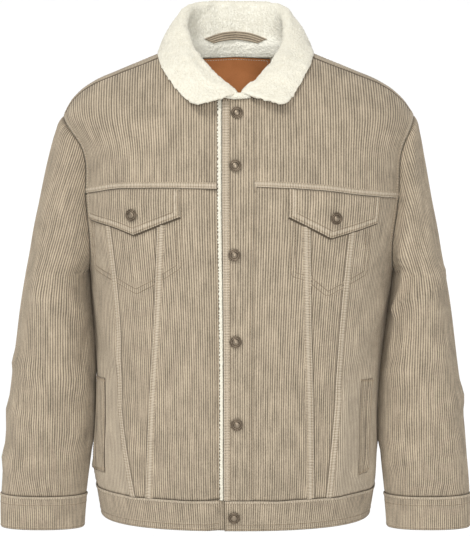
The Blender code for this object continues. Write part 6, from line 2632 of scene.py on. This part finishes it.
@dataclass
class Studio:
    """A pale sweep, soft light and the camera."""

    floor_height: float = -1.05
    floor_size: float = 60.0
    wall_distance: float = 9.0
    sky: float = 0.46
    sun: float = 1.73
    sun_angle: float = 20.0
    sun_from: tuple[float, float, float] = (-0.36, -0.5, 0.8)
    lamp: float = 45.0
    lamp_size: float = 1.2
    lamp_place: tuple[float, float, float] = (0.25, -3.3, 0.45)
    camera_place: tuple[float, float, float] = (-0.0007, -3.0, 0.03)
    camera_drop: float = 0.33 / 3
    camera_lens: float = 146.08
    sensor: float = 36.0

    def build(self) -> None:
        """Build the sweep, the light and the camera."""
        self.build_sweep()
        self.build_light()
        self.build_camera()

    def build_sweep(self) -> None:
        """Lay a wide pale floor well below the jacket, rising to a wall far behind it."""
        form = bmesh.new()
        bmesh.ops.create_grid(form, x_segments=1, y_segments=1, size=self.floor_size / 2)
        far = max(form.edges, key=lambda edge: edge.verts[0].co.y + edge.verts[1].co.y)
        shift = self.wall_distance - self.floor_size / 2
        bmesh.ops.translate(form, verts=form.verts[:], vec=(0, shift, self.floor_height))
        raised = bmesh.ops.extrude_edge_only(form, edges=[far])["geom"]
        top = [item for item in raised if isinstance(item, bmesh.types.BMVert)]
        bmesh.ops.translate(form, verts=top, vec=(0, 0, self.floor_size / 2))
        mesh = bpy.data.meshes.new("sweep")
        form.to_mesh(mesh)
        form.free()
        shader = Shader("pale_sweep")
        mesh.materials.append(shader.settle(Base_Color=(0.97, 0.97, 0.97, 1.0), Roughness=1.0))
        put_in_scene("sweep", mesh)

    def build_light(self) -> None:
        """Light the scene with an even sky, a soft sun from the upper left and a weak lamp in front."""
        world = bpy.data.worlds.new("studio")
        world.use_nodes = True
        backdrop = world.node_tree.nodes["Background"]
        backdrop.inputs["Color"].default_value = (1.0, 1.0, 1.0, 1.0)
        backdrop.inputs["Strength"].default_value = self.sky
        bpy.context.scene.world = world
        sun = bpy.data.lights.new("sun", "SUN")
        sun.energy = self.sun
        sun.angle = math.radians(self.sun_angle)
        self.hang(sun, Vector(self.sun_from) * 4)
        lamp = bpy.data.lights.new("lamp", "AREA")
        lamp.energy = self.lamp
        lamp.size = self.lamp_size
        self.hang(lamp, Vector(self.lamp_place))

    def hang(self, light: bpy.types.Light, place: Vector) -> None:
        """Hang a light at a place, turned to the jacket's chest."""
        holder = put_in_scene(light.name, light)
        holder.location = place
        aim = Vector((0, 0, -0.25)) - place if light.type == "AREA" else -place
        holder.rotation_euler = aim.to_track_quat("-Z", "Y").to_euler()

    def build_camera(self) -> None:
        """Set the camera in front of the chest, looking slightly down."""
        lens = bpy.data.cameras.new("camera")
        lens.sensor_fit = "VERTICAL"
        lens.sensor_height = self.sensor
        lens.lens = self.camera_lens
        holder = put_in_scene("camera", lens)
        holder.location = self.camera_place
        holder.rotation_euler = (math.pi / 2 - math.atan(self.camera_drop), 0, 0)
        bpy.context.scene.camera = holder
        bpy.context.scene.view_settings.view_transform = "Standard"


def main() -> None:
    """Build the jacket, then its surroundings."""
    logging.basicConfig(level=logging.INFO, format="%(name)s %(message)s")
    LOG.info("%s with %d nodes", frame["record"].get("type"), len(frame["nodes"]))
    wardrobe = Wardrobe()
    torso = Torso()
    fronts = Fronts(torso, wardrobe)
    Back(torso, wardrobe).build()
    fronts.build()
    Waistband(torso, fronts, wardrobe).build()
    for side in Side:
        Sleeve(Arm(side, torso), wardrobe).build()
    Collar(CollarForm(torso), torso, wardrobe).build()
    Buttons(torso, wardrobe).build()
    Studio().build()


if __name__ == "__main__":
    main()
